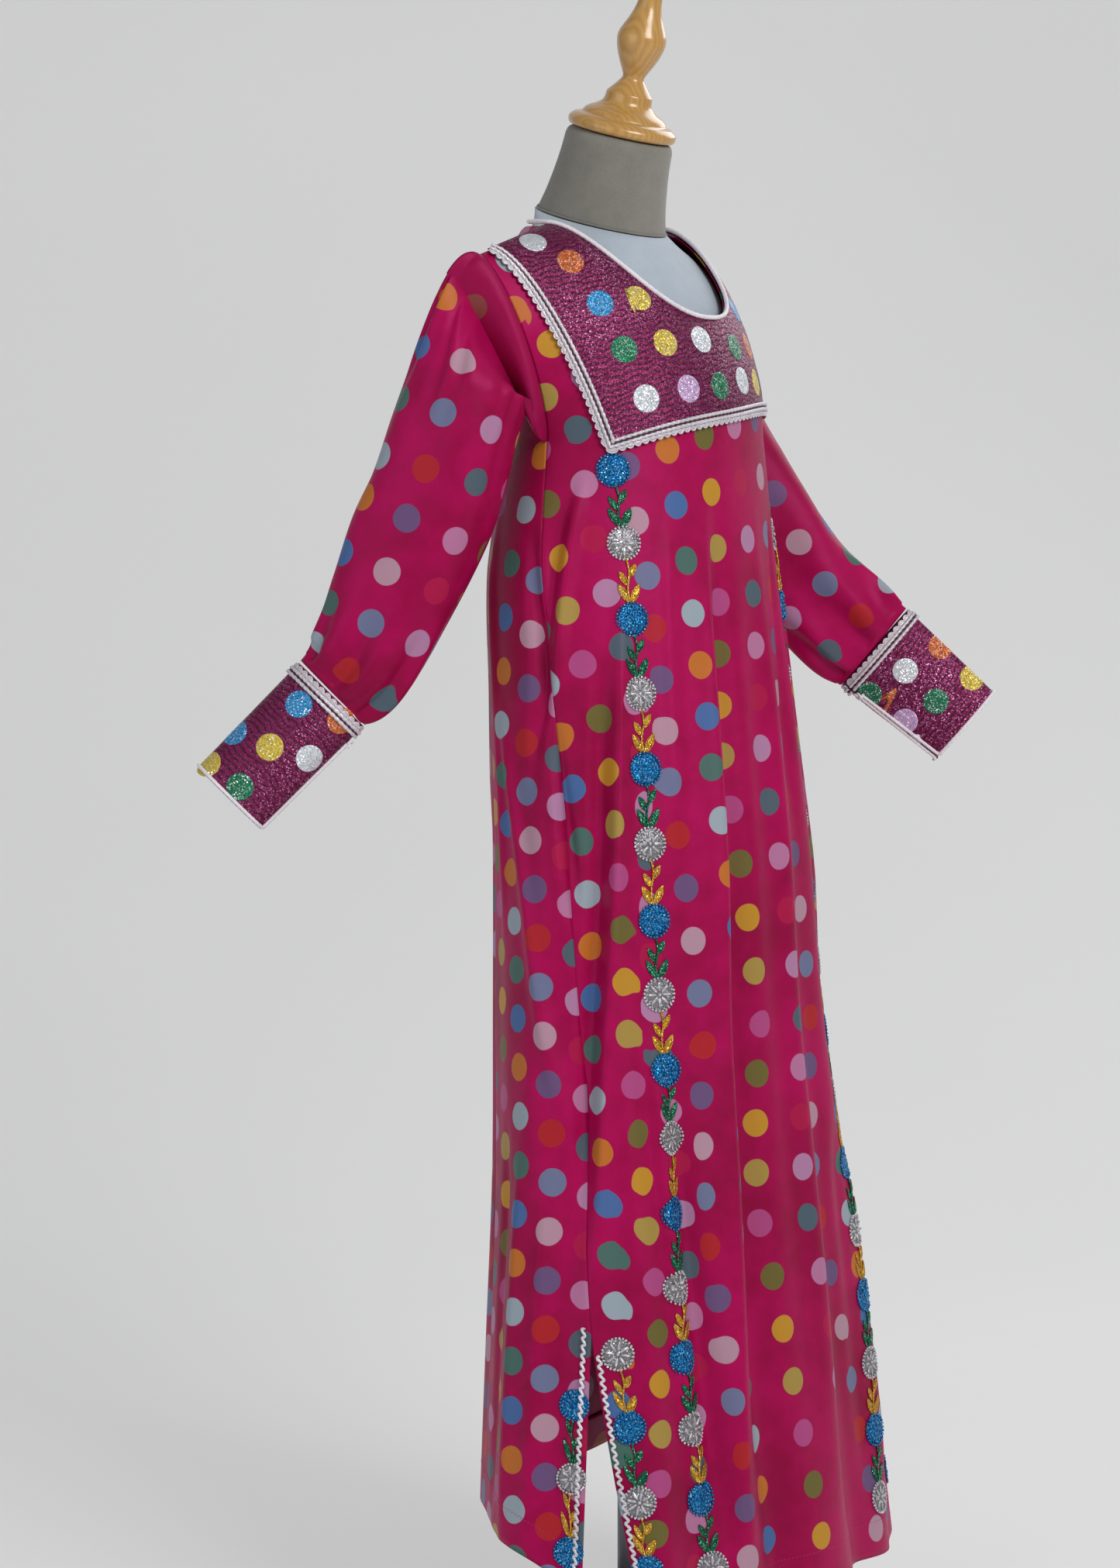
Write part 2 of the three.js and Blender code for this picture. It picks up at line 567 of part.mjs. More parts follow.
// The cuff: an open strip wrapped round the wrist, slit on one side.
function cuffSurface(rows, cuff, outwardGuess, side) {
  const start = sleeveFrame(rows, 1, outwardGuess);
  const from = rows[rows.length - 2];
  const end = vec(cuff.end.x, cuff.end.y, cuff.end.z);
  const ahead = end.clone().sub(start.centre).normalize();
  const outward = outwardGuess.clone().addScaledVector(ahead, -outwardGuess.dot(ahead)).normalize();
  const forward = outward.clone().cross(ahead).normalize();
  const front = forward.multiplyScalar(-side * Math.sign(forward.y * -side) || 1);
  const length = end.distanceTo(start.centre);
  return (turnShare, along) => {
    const gap = lerp(CUFF_SLIT.top, CUFF_SLIT.end, along);
    const theta = cuff.slitAt + lerp(gap / 2, 360 - gap / 2, turnShare);
    const turn = degToRad(theta);
    const p = start.centre.clone().addScaledVector(ahead, lerp(1.7, length, along));
    return p.addScaledVector(outward, lerp(from.outward, cuff.outward, along) * Math.cos(turn))
      .addScaledVector(front, lerp(from.forward, cuff.forward, along) * Math.sin(turn));
  };
}

function facingSide(surface, u, v, centre) {
  return normalAt(surface, u, v, 1).dot(surface(u, v).sub(centre)) > 0 ? 1 : -1;
}

function makeSleeve(label, table, cuff, outwardGuess, side, phase) {
  const rows = withCuffStart(table, cuff);
  const surface = sleeveSurface(rows, side, outwardGuess, phase);
  const middle = sleeveFrame(rows, 0.5, outwardGuess).centre;
  const facing = facingSide(surface, 40, 0.5, middle);
  const around = steps(20, 0, 360).slice(0, -1);
  const along = [...steps(7, 0, 0.2).slice(0, -1), ...steps(13, 0.2, 1)];
  const sleeveNormal = (u, v) => normalAt(surface, u, v, facing);
  clothWall(`sleeve_${label}`, surface, sleeveNormal, around, along, 0, -CLOTH, SATIN, true);

  const strip = cuffSurface(rows, cuff, outwardGuess, side);
  const cuffMiddle = strip(0, 0.5).add(strip(0.5, 0.5)).multiplyScalar(0.5);
  const cuffFacing = facingSide(strip, 0.2, 0.5, cuffMiddle);
  const cuffNormal = (u, v) => normalAt(strip, u, v, cuffFacing);
  clothWall(`cuff_${label}`, strip, cuffNormal, steps(24, 0, 1), steps(4, 0, 1), 0, -LAME, LAME_CLOTH);

  const count = 2 * 28;
  const stations = steps(count, 0.004, 0.996).map((t) => {
    const point = strip(t, 0.065);
    const normal = cuffNormal(t, 0.065);
    const aside = strip(t, 0).sub(strip(t, 0.1)).normalize();
    return { point: point.addScaledVector(normal, LIFT + 0.6), aside, normal };
  });
  scallopBand(`cuff_braid_${label}`, stations, WHITE_BRAID);

  const edge = [];
  for (const v of steps(4, 0.17, 0.96)) edge.push([0.008, v]);
  for (const t of steps(24, 0.03, 0.97)) edge.push([t, 0.985]);
  for (const v of steps(4, 0.96, 0.17)) edge.push([0.992, v]);
  const rim = edge.map(([t, v]) => strip(t, v).addScaledVector(cuffNormal(t, v), LIFT + 1.3));
  cord(`cuff_piping_${label}`, rim, 1.3, 5, WHITE_BRAID, false);
}
makeSleeve('right', RIGHT_SLEEVE, RIGHT_CUFF, RIGHT_OUTWARD, -1, 0.4);
makeSleeve('left', LEFT_SLEEVE, LEFT_CUFF, LEFT_OUTWARD, 1, 2.1);

// Wavy cord along each edge of the side slits, as plain strips on the cloth.
function slitTrim(name, surface, normalOf, columns, edge) {
  const rows = alongBody.filter((v) => v < 0.225);
  const rim = edge * edgeGap(1);
  const nextColumn = edge * edgeGap(columns[columns.length - 2]);
  const facet = (s, v) => surface(rim, v).lerp(surface(nextColumn, v), (s - rim) / (nextColumn - rim));
  const across = [edge * (1 - TRIM.from), edge * (1 - TRIM.to)].sort((a, b) => a - b);
  clothWall(name, facet, normalOf, across, rows, TRIM.lift + TRIM.thick, TRIM.lift, WHITE_BRAID);
}
slitTrim('slit_trim_front_right', frontSurface, frontNormal, acrossFront, -1);
slitTrim('slit_trim_front_left', frontSurface, frontNormal, acrossFront, 1);
slitTrim('slit_trim_back_right', backSurface, backNormal, acrossBack, -1);
slitTrim('slit_trim_back_left', backSurface, backNormal, acrossBack, 1);

// Dress form.
function formTorso() {
  const sides = 28;
  const position = [];
  const index = [];
  const heights = [585, 592, 680, 735, 790, 845, 900, 970, 1030, 1050, 1068, 1080, 1092, 1108, 1122, 1132];
  heights.forEach((z) => {
    for (let k = 0; k < sides; k += 1) {
      const turn = 2 * Math.PI * k / sides;
      const bend = 2 / readTable(TORSO, 'z', 'power', z);
      const swell = (value) => Math.sign(value) * Math.abs(value) ** bend;
      const x = readTable(TORSO, 'z', 'halfWidth', z) * swell(Math.cos(turn));
      const depth = readTable(TORSO, 'z', 'halfDepth', z) * swell(Math.sin(turn));
      position.push(x, readTable(TORSO, 'z', 'centreY', z) + depth, z + readTable(TORSO, 'z', 'lean', z) * depth);
    }
  });
  for (let i = 0; i < heights.length - 1; i += 1) {
    for (let k = 0; k < sides; k += 1) {
      const a = i * sides + k;
      const b = i * sides + (k + 1) % sides;
      index.push(a, b, b + sides, a, b + sides, a + sides);
    }
  }
  const end = (heights.length - 1) * sides;
  for (let k = 1; k < sides - 1; k += 1) {
    index.push(0, k + 1, k);
    index.push(end, end + k, end + k + 1);
  }
  const geometry = new THREE.BufferGeometry();
  geometry.setAttribute('position', new THREE.Float32BufferAttribute(position, 3));
  geometry.setIndex(volumeOf(position, index) < 0 ? index.reverse() : index);
  geometry.computeVertexNormals();
  const mesh = new THREE.Mesh(geometry, JERSEY);
  mesh.name = 'form_torso';
  group.add(mesh);
}
formTorso();

// A turned piece: a closed profile of radius and height, spun about Z.
function turned(name, profile, sides, material) {
  const geometry = new THREE.LatheGeometry(profile.map((p) => new THREE.Vector2(p.r, p.h)), sides);
  geometry.rotateX(Math.PI / 2);
  const mesh = new THREE.Mesh(geometry, material);
  mesh.name = name;
  return mesh;
}

// Neck and cap lean forward together, from the neck seam up.
const head = new THREE.Group();
head.position.set(0, FORM_NECK.baseY, FORM_NECK.baseZ + SEAM);
head.rotation.x = degToRad(FORM_NECK.lean);
const neckProfile = [
  { r: 0, h: 0 }, { r: FORM_NECK.baseR, h: 0 }, { r: 47.5, h: 14 }, { r: 44.5, h: 32 },
  { r: 42.3, h: 52 }, { r: FORM_NECK.topR, h: FORM_NECK.length }, { r: 0, h: FORM_NECK.length },
];
head.add(turned('form_neck', neckProfile, 28, GREY_JERSEY));
const cap = turned('neck_cap', CAP_PROFILE, 24, WOOD);
cap.position.z = FORM_NECK.length + SEAM;
head.add(cap);
group.add(head);

// Stand.
const pole = new THREE.Mesh(new THREE.CylinderGeometry(POLE.r, POLE.r, POLE.top - POLE.bottom, 24), STEEL);
pole.rotation.x = Math.PI / 2;
pole.position.z = (POLE.top + POLE.bottom) / 2;
pole.name = 'stand_pole';
group.add(pole);
const baseProfile = [
  { r: 0, h: 0 }, { r: BASE.r, h: 0 }, { r: BASE.r, h: BASE.rim - 4 }, { r: BASE.r - 4, h: BASE.rim },
  { r: 30, h: BASE.crown }, { r: 0, h: BASE.crown },
];
group.add(turned('stand_base', baseProfile, 40, STEEL));

export default group;
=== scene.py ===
"""Girl's polka-dot thobe on a limbless dress form: cloth, trims, sequin vines, form, stand and studio.

Sizes are in millimetres inside the shape classes and in metres in the meshes. +Z is up, the thobe
faces -Y and the wearer's right side is -X.
"""

from __future__ import annotations

import logging
import math
from dataclasses import dataclass, field
from enum import Enum
from typing import Any, Callable, Sequence

import bpy
import numpy as np
from mathutils import Matrix, Vector

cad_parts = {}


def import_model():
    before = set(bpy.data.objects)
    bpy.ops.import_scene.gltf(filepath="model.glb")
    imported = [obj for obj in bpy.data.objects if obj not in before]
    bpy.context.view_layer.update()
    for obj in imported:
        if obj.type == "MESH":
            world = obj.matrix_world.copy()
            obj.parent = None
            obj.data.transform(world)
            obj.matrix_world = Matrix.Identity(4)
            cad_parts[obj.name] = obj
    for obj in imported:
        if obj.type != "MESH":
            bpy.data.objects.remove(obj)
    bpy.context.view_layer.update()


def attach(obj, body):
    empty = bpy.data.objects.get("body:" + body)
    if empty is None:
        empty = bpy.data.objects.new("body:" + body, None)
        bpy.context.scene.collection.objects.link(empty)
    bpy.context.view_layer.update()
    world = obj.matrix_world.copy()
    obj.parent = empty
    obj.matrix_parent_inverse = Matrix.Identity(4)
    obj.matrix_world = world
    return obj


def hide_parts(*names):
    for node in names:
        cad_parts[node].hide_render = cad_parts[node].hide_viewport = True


LOG = logging.getLogger("thobe")
MM = 0.001
PITCH = 41.0  # millimetres between the dots of the print, both ways
HEM_DEPTH = 27.0  # millimetres of cloth turned up at the hem
STITCH_STEP = 3.2  # millimetres from one hem stitch to the next
CLOTH_WALL = 0.9  # millimetres of thickness of satin and lamé
WAVE = 6.2  # millimetres for each scallop of the lace and each swing of the slit cord
Array = np.ndarray
Mesh = tuple[Array, Array]
Surface = Callable[[Array, Array], Array]
Place = Callable[[Array, Array, Array], Array]
Socket = bpy.types.NodeSocket


class Side(Enum):
    """The wearer's right or left."""

    RIGHT = -1
    LEFT = 1


class Panel(Enum):
    """The two body panels of the thobe."""

    FRONT = 1
    BACK = -1


class Table:
    """Rows of numbers read by their first column."""

    def __init__(self, rows: Sequence[Sequence[float]]) -> None:
        """Keeps rows that start with their key and stand in the keys' order."""
        self.rows = np.array(rows, dtype=float)

    def smooth(self, value: Array | float, column: int) -> Array:
        """Reads a column with smooth slopes between rows: a cubic through the rows whose slope at a row
        is that of the line between its two neighbours.

        Args:
            value: where to read.
            column: which column, 1 for the first after the key.

        Returns:
            The values read.
        """
        keys, col = self.rows[:, 0], self.rows[:, column]
        last = len(keys) - 1
        x = np.clip(np.asarray(value, dtype=float), keys[0], keys[last])
        i = np.clip(np.searchsorted(keys, x, side="left") - 1, 0, last - 1)
        before, after = np.maximum(i - 1, 0), np.minimum(i + 2, last)
        span = keys[i + 1] - keys[i]
        u = (x - keys[i]) / span
        slope_here = (col[i + 1] - col[before]) / (keys[i + 1] - keys[before]) * span
        slope_next = (col[after] - col[i]) / (keys[after] - keys[i]) * span
        return cubic(col[i], slope_here, col[i + 1], slope_next, u)

    def straight(self, value: Array | float, column: int) -> Array:
        """Reads a column with straight lines between the rows."""
        return np.interp(np.asarray(value, dtype=float), self.rows[:, 0], self.rows[:, column])


def lerp(a: Any, b: Any, t: Any) -> Any:
    """The value a share t of the way from a to b."""
    return a + (b - a) * t


def cubic(start: Array, slope_start: Array, end: Array, slope_end: Array, u: Array) -> Array:
    """The smooth curve from start to end, with the slopes given at both, at a share u of the way."""
    u2, u3 = u * u, u * u * u
    return ((2 * u3 - 3 * u2 + 1) * start + (u3 - 2 * u2 + u) * slope_start
            + (3 * u2 - 2 * u3) * end + (u3 - u2) * slope_end)


def full_turn(count: int) -> Array:
    """Angles evenly spaced round a full turn, in radians."""
    return np.linspace(0, 2 * math.pi, count, endpoint=False)


def half_turned(angle: Array) -> Array:
    """Angles in degrees brought between -180 and 180."""
    return (angle + 180) % 360 - 180


def smoothstep(value: Array, low: float, high: float) -> Array:
    """0 below low, 1 above high and an S-curve between."""
    t = np.clip((value - low) / (high - low), 0, 1)
    return t * t * (3 - 2 * t)


def unit(v: Array) -> Array:
    """Vectors scaled to length one."""
    return v / np.maximum(np.linalg.norm(v, axis=-1, keepdims=True), 1e-12)


def stack(x: Array, y: Array, z: Array) -> Array:
    """Points from their three coordinates."""
    return np.stack(np.broadcast_arrays(x, y, z), axis=-1).astype(float)


def normals_of(surface: Surface, u: Array, v: Array, side: float = 1.0, h: float = 0.004) -> Array:
    """Normals of a surface: the cross product of its two slopes, each taken over a small step both ways.

    Args:
        surface: the surface as a function of two parameters.
        u: the first parameter.
        v: the second parameter.
        side: 1 or -1, to turn the normals outward.
        h: the step.

    Returns:
        Unit normals.
    """
    du = surface(u + h, v) - surface(u - h, v)
    dv = surface(u, v + h) - surface(u, v - h)
    return unit(np.cross(du, dv)) * side


def lengths_along(points: Array, axis: int = 0) -> Array:
    """Distance walked to each point of a path, or down (0) or along (1) a grid, from its first point."""
    steps = np.linalg.norm(np.diff(points, axis=axis), axis=-1)
    return np.insert(np.cumsum(steps, axis=axis), 0, 0.0, axis=axis)


def resample(points: Array, count: int) -> Array:
    """The same path with evenly spaced points."""
    walked = lengths_along(points)
    at = np.linspace(0, walked[-1], count)
    return np.stack([np.interp(at, walked, points[:, k]) for k in range(points.shape[1])], axis=-1)


@dataclass
class ThobeShape:
    """The hanging cloth as smooth functions: skirt sections, folds, hem, seams and bodice."""

    armpit_z: float = 965.0
    below_armpit: float = 250.0
    hem_level: float = 120.0
    seam_gap: float = 0.3
    shoulder: tuple[float, float, float] = (155.0, 38.0, 1103.0)
    neck: tuple[float, float, float] = (81.0, 29.0, 1126.0)
    neck_depth: float = 0.61
    back_neck_y: float = 83.5
    back_neck_z: float = 1129.0
    blade_bulge: float = 9.0
    # Height, half-width, half-depth and middle of each section of the skirt.
    sections: Table = field(default_factory=lambda: Table([
        (60, 224, 128, -50), (165, 213, 122, -44), (285, 200, 115, -38), (405, 183, 109, -31),
        (525, 169, 105, -22), (645, 158, 104, -16), (765, 148, 101, -6), (867, 138, 98, 2),
        (965, 122, 88, 0)]))
    # Degrees round from the front centre, height of the hem.
    hem: Table = field(default_factory=lambda: Table([
        (0, 90), (45, 84), (70, 112), (93, 146), (130, 158), (180, 148)]))
    # Height, then where the side seam runs on the front and on the back, in degrees.
    seam: Table = field(default_factory=lambda: Table([
        (60, 52, 72), (120, 55, 71), (306, 67.5, 67.5), (370, 70, 70), (485, 70, 70), (650, 77, 77),
        (780, 81, 81), (965, 90, 90)]))
    # Long folds: angle at the hem and at the start, half-width in degrees, height, start level.
    folds: tuple[tuple[float, ...], ...] = (
        (-24, -22, 7, 9, 930), (-13, -12, 7, -15, 930), (6, 3, 9, 5, 700), (22, 24, 8, -11, 900),
        (34, 33, 8, 7, 900), (-36, -52, 6, -9, 620), (-47, -60, 6, 8, 820), (-78, -73, 7, -6, 880),
        (50, 60, 7, 8, 800), (64, 73, 7, -9, 880), (-96, -84, 8, 5, 900), (97, 84, 8, 6, 900),
        (120, 124, 11, -7, 860), (142, 142, 10, 6, 760), (170, 168, 12, -7, 820),
        (-150, -152, 11, 5, 780), (-122, -116, 10, -5, 860))
    # Finer creases: angle and level at each end, half-width in degrees, height in millimetres.
    creases: tuple[tuple[float, ...], ...] = (
        (-16.5, 960, -25, 90, 3.0, 6.5), (-11.5, 960, -18, 90, 4.2, -8.0), (-69, 950, -80, 760, 3.0, 5.0),
        (-77, 930, -92, 690, 3.6, -5.5), (-50.5, 900, -67, 320, 3.0, 7.0), (-60, 830, -74, 320, 3.8, -9.0),
        (-47.5, 560, -33, 80, 3.0, 8.0), (-41, 500, -26, 80, 4.0, -8.5), (-116, 810, -69, 380, 3.6, 4.5),
        (-92, 915, -72, 590, 3.4, -6.5), (12, 940, 8.5, 90, 4.0, 5.5), (3, 900, 0, 90, 5.0, -4.0),
        (-33, 930, -37, 640, 3.0, 3.0), (-86, 920, -78, 560, 2.6, 4.0), (30, 930, 26, 640, 3.0, -4.0),
        (50, 930, 60, 500, 3.2, 5.5), (42, 930, 52, 500, 4.0, -6.0), (66, 900, 57, 110, 3.2, 6.0),
        (84, 930, 74, 560, 3.0, -5.0), (96, 910, 84, 470, 3.2, 4.5), (118, 940, 110, 640, 3.6, 4.0),
        (134, 930, 128, 120, 4.0, -4.5), (150, 940, 146, 620, 3.6, -3.6), (166, 900, 160, 110, 4.0, 4.0),
        (-150, 940, -147, 620, 3.6, 3.4), (-134, 930, -130, 120, 4.0, -4.0), (-120, 940, -112, 560, 3.2, 4.0),
        (180, 930, 176, 560, 4.0, 3.2), (16, 460, 14, 90, 3.0, -4.0), (44, 440, 38, 90, 3.0, 6.0),
        (34, 460, 30, 90, 3.6, -6.0), (-84, 440, -90, 120, 3.2, 4.5), (-108, 480, -114, 120, 3.6, -4.5),
        (-97, 460, -102, 110, 3.0, 3.5), (108, 440, 112, 120, 3.4, 4.5), (96, 460, 98, 120, 3.2, -4.0))

    def fold_height(self, angle: Array, z: Array) -> Array:
        """Height of the cloth over the smooth skirt: each fold is a bell-shaped ridge or trough whose
        middle wanders from its start to the hem and whose height grows downwards; each crease is a
        narrow bell that fades at both ends.

        Args:
            angle: degrees round from the front centre.
            z: height.

        Returns:
            Millimetres outward.
        """
        total = np.zeros(np.broadcast(angle, z).shape)
        for hem, start, spread, out, start_z in self.folds:
            down = smoothstep(start_z - z, 0, start_z - self.hem_level)
            reach = np.clip((start_z - z) / 160, 0, 1)
            away = half_turned(angle - lerp(start, hem, down))
            total = total + out * np.exp(-((away / spread) ** 2)) * (0.35 + 0.65 * down) * reach
        for top, top_z, low, low_z, spread, out in self.creases:
            down = (top_z - z) / (top_z - low_z)
            fade = smoothstep(down, 0, 0.25) * (1 - smoothstep(down, 0.7, 1))
            away = half_turned(angle - lerp(top, low, np.clip(down, 0, 1)))
            total = total + out * np.exp(-((away / spread) ** 2)) * fade
        return total

    def angle_of(self, points: Array) -> Array:
        """Degrees round from the front centre of points on the cloth."""
        back = self.sections.smooth(points[..., 2], 3) - points[..., 1]
        return np.degrees(np.arctan2(points[..., 0], back))

    def skirt(self, angle: Array, z: Array) -> Array:
        """A point of the skirt: an ellipse with the folds added to both half-sizes."""
        lift = self.fold_height(angle, z)
        turn = np.radians(angle)
        x = (self.sections.smooth(z, 1) + lift) * np.sin(turn)
        y = self.sections.smooth(z, 3) - (self.sections.smooth(z, 2) + lift) * np.cos(turn)
        return stack(x, y, z)

    def hem_z(self, angle: Array) -> Array:
        """Height of the hem at an angle."""
        return self.hem.smooth(np.abs(angle), 1)

    def column_hem(self, s: Array, front: int) -> Array:
        """Height of the hem at a column of a panel."""
        return self.hem_z(55 * s if front > 0 else 180 - 109 * np.abs(s))

    def top_share(self, s: Array) -> Array:
        """Share of a front column's climb that is left below the neckline: a rounded scoop."""
        beyond = np.abs(s) / (self.neck[0] / self.shoulder[0])
        scoop = 1 - self.neck_depth * np.clip(1 - np.minimum(beyond, 1) ** 2.4, 0, 1) ** 0.62
        return np.where(beyond >= 1, 1.0, scoop)

    def bodice(self, s: Array, share: Array, front: int) -> Array:
        """A point of the bodice: each column climbs from the armpit level to the neck or the shoulder
        seam along a superellipse, whose roundness falls off to the sides.

        Args:
            s: -1 to 1 across.
            share: 0 at the armpit, 1 at the top edge; below 0 it is on the skirt.
            front: 1 for the front, -1 for the back.

        Returns:
            Points in millimetres.
        """
        s, share = np.broadcast_arrays(np.asarray(s, float), np.asarray(share, float))
        angle = 90 * s if front > 0 else 180 - 90 * s
        below = self.skirt(angle, self.armpit_z + self.below_armpit * np.minimum(share, 0))
        base = self.skirt(angle, np.full_like(s, self.armpit_z))
        across = np.abs(s)
        neck_s = self.neck[0] / self.shoulder[0]
        out = np.clip((across - neck_s) / (1 - neck_s), 0, 1)
        top_x = self.shoulder[0] * s
        top_y = lerp(self.neck[1], self.shoulder[1], out)
        top_z = lerp(self.neck[2], self.shoulder[2], out)
        climb = np.clip(share, 0, 1) * math.pi / 2
        hump = np.sin(math.pi * np.clip(share, 0, 1))
        if front > 0:
            roundness = lerp(1.95, 1.35, across ** 2)
            bulge = -6 * hump * across ** 6
        else:
            curve = np.clip(1 - np.minimum(across / neck_s, 1) ** 1.6, 0, 1) ** (1 / 1.6)
            top_y = top_y + (self.back_neck_y - self.neck[1]) * curve
            top_z = top_z + (self.back_neck_z - self.neck[2]) * curve
            roundness = lerp(2.3, 1.6, across ** 2)
            bulge = 24 * hump * across ** 4 + self.blade_bulge * hump * (1 - across ** 2)
        up = np.maximum(np.sin(climb), 0) ** (2 / roundness)
        over = np.maximum(np.cos(climb), 0) ** (2 / roundness)
        y = lerp(top_y, base[..., 1], over) + bulge - front * self.seam_gap / 2 * up
        point = stack(lerp(base[..., 0], top_x, up ** 1.2), y, lerp(base[..., 2], top_z, up))
        return np.where((share < 0)[..., None], below, point)

    def angle_at(self, s: Array, z: Array, front: int) -> Array:
        """Degrees round from the front centre of a column of a panel at a height."""
        if front > 0:
            return self.seam.straight(z, 1) * s
        around = 180 - (180 - self.seam.straight(z, 2)) * s
        return np.where(around > 180, around - 360, around)

    def body(self, s: Array, v: Array, front: int) -> Array:
        """A point of a panel: v is 0 at the hem, 1 at the armpit and 2 at the top edge."""
        s, v = np.broadcast_arrays(np.asarray(s, float), np.asarray(v, float))
        z = lerp(self.column_hem(s, front), self.armpit_z, np.minimum(v, 1))
        low = self.skirt(self.angle_at(s, z, front), z)
        top = self.top_share(s) if front > 0 else 1.0
        high = self.bodice(s, np.maximum(v - 1, 0) * top, front)
        return np.where((v >= 1)[..., None], high, low)

    def bodice_normal(self, s: Array, share: Array, front: int) -> Array:
        """Outward normals of the bodice, taken just inside its ends."""
        return normals_of(lambda a, b: self.bodice(a, b, front), s, np.clip(share, 0.005, 0.995), front)

    def body_normal(self, s: Array, v: Array, front: int) -> Array:
        """Outward normals of a panel."""
        s, v = np.broadcast_arrays(np.asarray(s, float), np.asarray(v, float))
        low = normals_of(lambda a, b: self.body(a, b, front), s, np.minimum(v, 0.995), front)
        top = self.top_share(s) if front > 0 else 1.0
        high = self.bodice_normal(s, np.maximum(v - 1, 0) * top, front)
        return np.where((v >= 1)[..., None], high, low)


@dataclass
class YokeShape:
    """The metallic bib: it lies on the front panel from the neckline and shoulder down over the chest."""

    body: ThobeShape
    bottom_z: float = 985.0
    corner_x: float = 104.5
    top_x: float = 146.0
    lift: float = 2.1

    def _column_at(self, x: Array, share: float) -> Array:
        """The column that passes a sideways distance at a climb share, read back from a fine list."""
        s = np.linspace(-1.1, 1.1, 881)
        return np.interp(x, self.body.bodice(s, np.full_like(s, share), 1)[..., 0], s)

    def _share_at(self, s: Array, z: Array) -> Array:
        """The climb share that reaches a height on a column, by halving the range thirty times."""
        low, high = np.full(s.shape, -0.2), np.ones(s.shape)
        for _ in range(30):
            mid = (low + high) / 2
            under = self.body.bodice(s, mid, 1)[..., 2] < z
            low, high = np.where(under, mid, low), np.where(under, high, mid)
        return low

    def place(self, p: Array, q: Array) -> tuple[Array, Array]:
        """Column and climb share of a place on the bib: p is -1 to 1 across, q 0 at the bottom edge and
        1 at the neckline and shoulder; the sides bow out a little between."""
        p, q = np.broadcast_arrays(np.asarray(p, float), np.asarray(q, float))
        flat_p, back = np.unique(np.round(p, 6), return_inverse=True)
        low_s = self._column_at(flat_p * self.corner_x, 0.08)
        low_share = self._share_at(low_s, self.bottom_z + 11 * flat_p - 12 * np.abs(flat_p) ** 3)
        low_s, low_share = low_s[back].reshape(p.shape), low_share[back].reshape(p.shape)
        top_s = p * self.top_x / self.body.shoulder[0]
        s = lerp(low_s, top_s, q) + p * 0.03 * np.sin(math.pi * q)
        return s, lerp(low_share, self.body.top_share(top_s), q)

    def surface(self, p: Array, q: Array, lift: float | Array = 0.0) -> Array:
        """A point over the bib, raised along the cloth's normal."""
        s, share = self.place(p, q)
        normal = self.body.bodice_normal(s, share, 1)
        return self.body.bodice(s, share, 1) + normal * np.asarray(lift)[..., None]

    def normal(self, p: Array, q: Array) -> Array:
        """Outward normals of the bib."""
        s, share = self.place(p, q)
        return self.body.bodice_normal(s, share, 1)


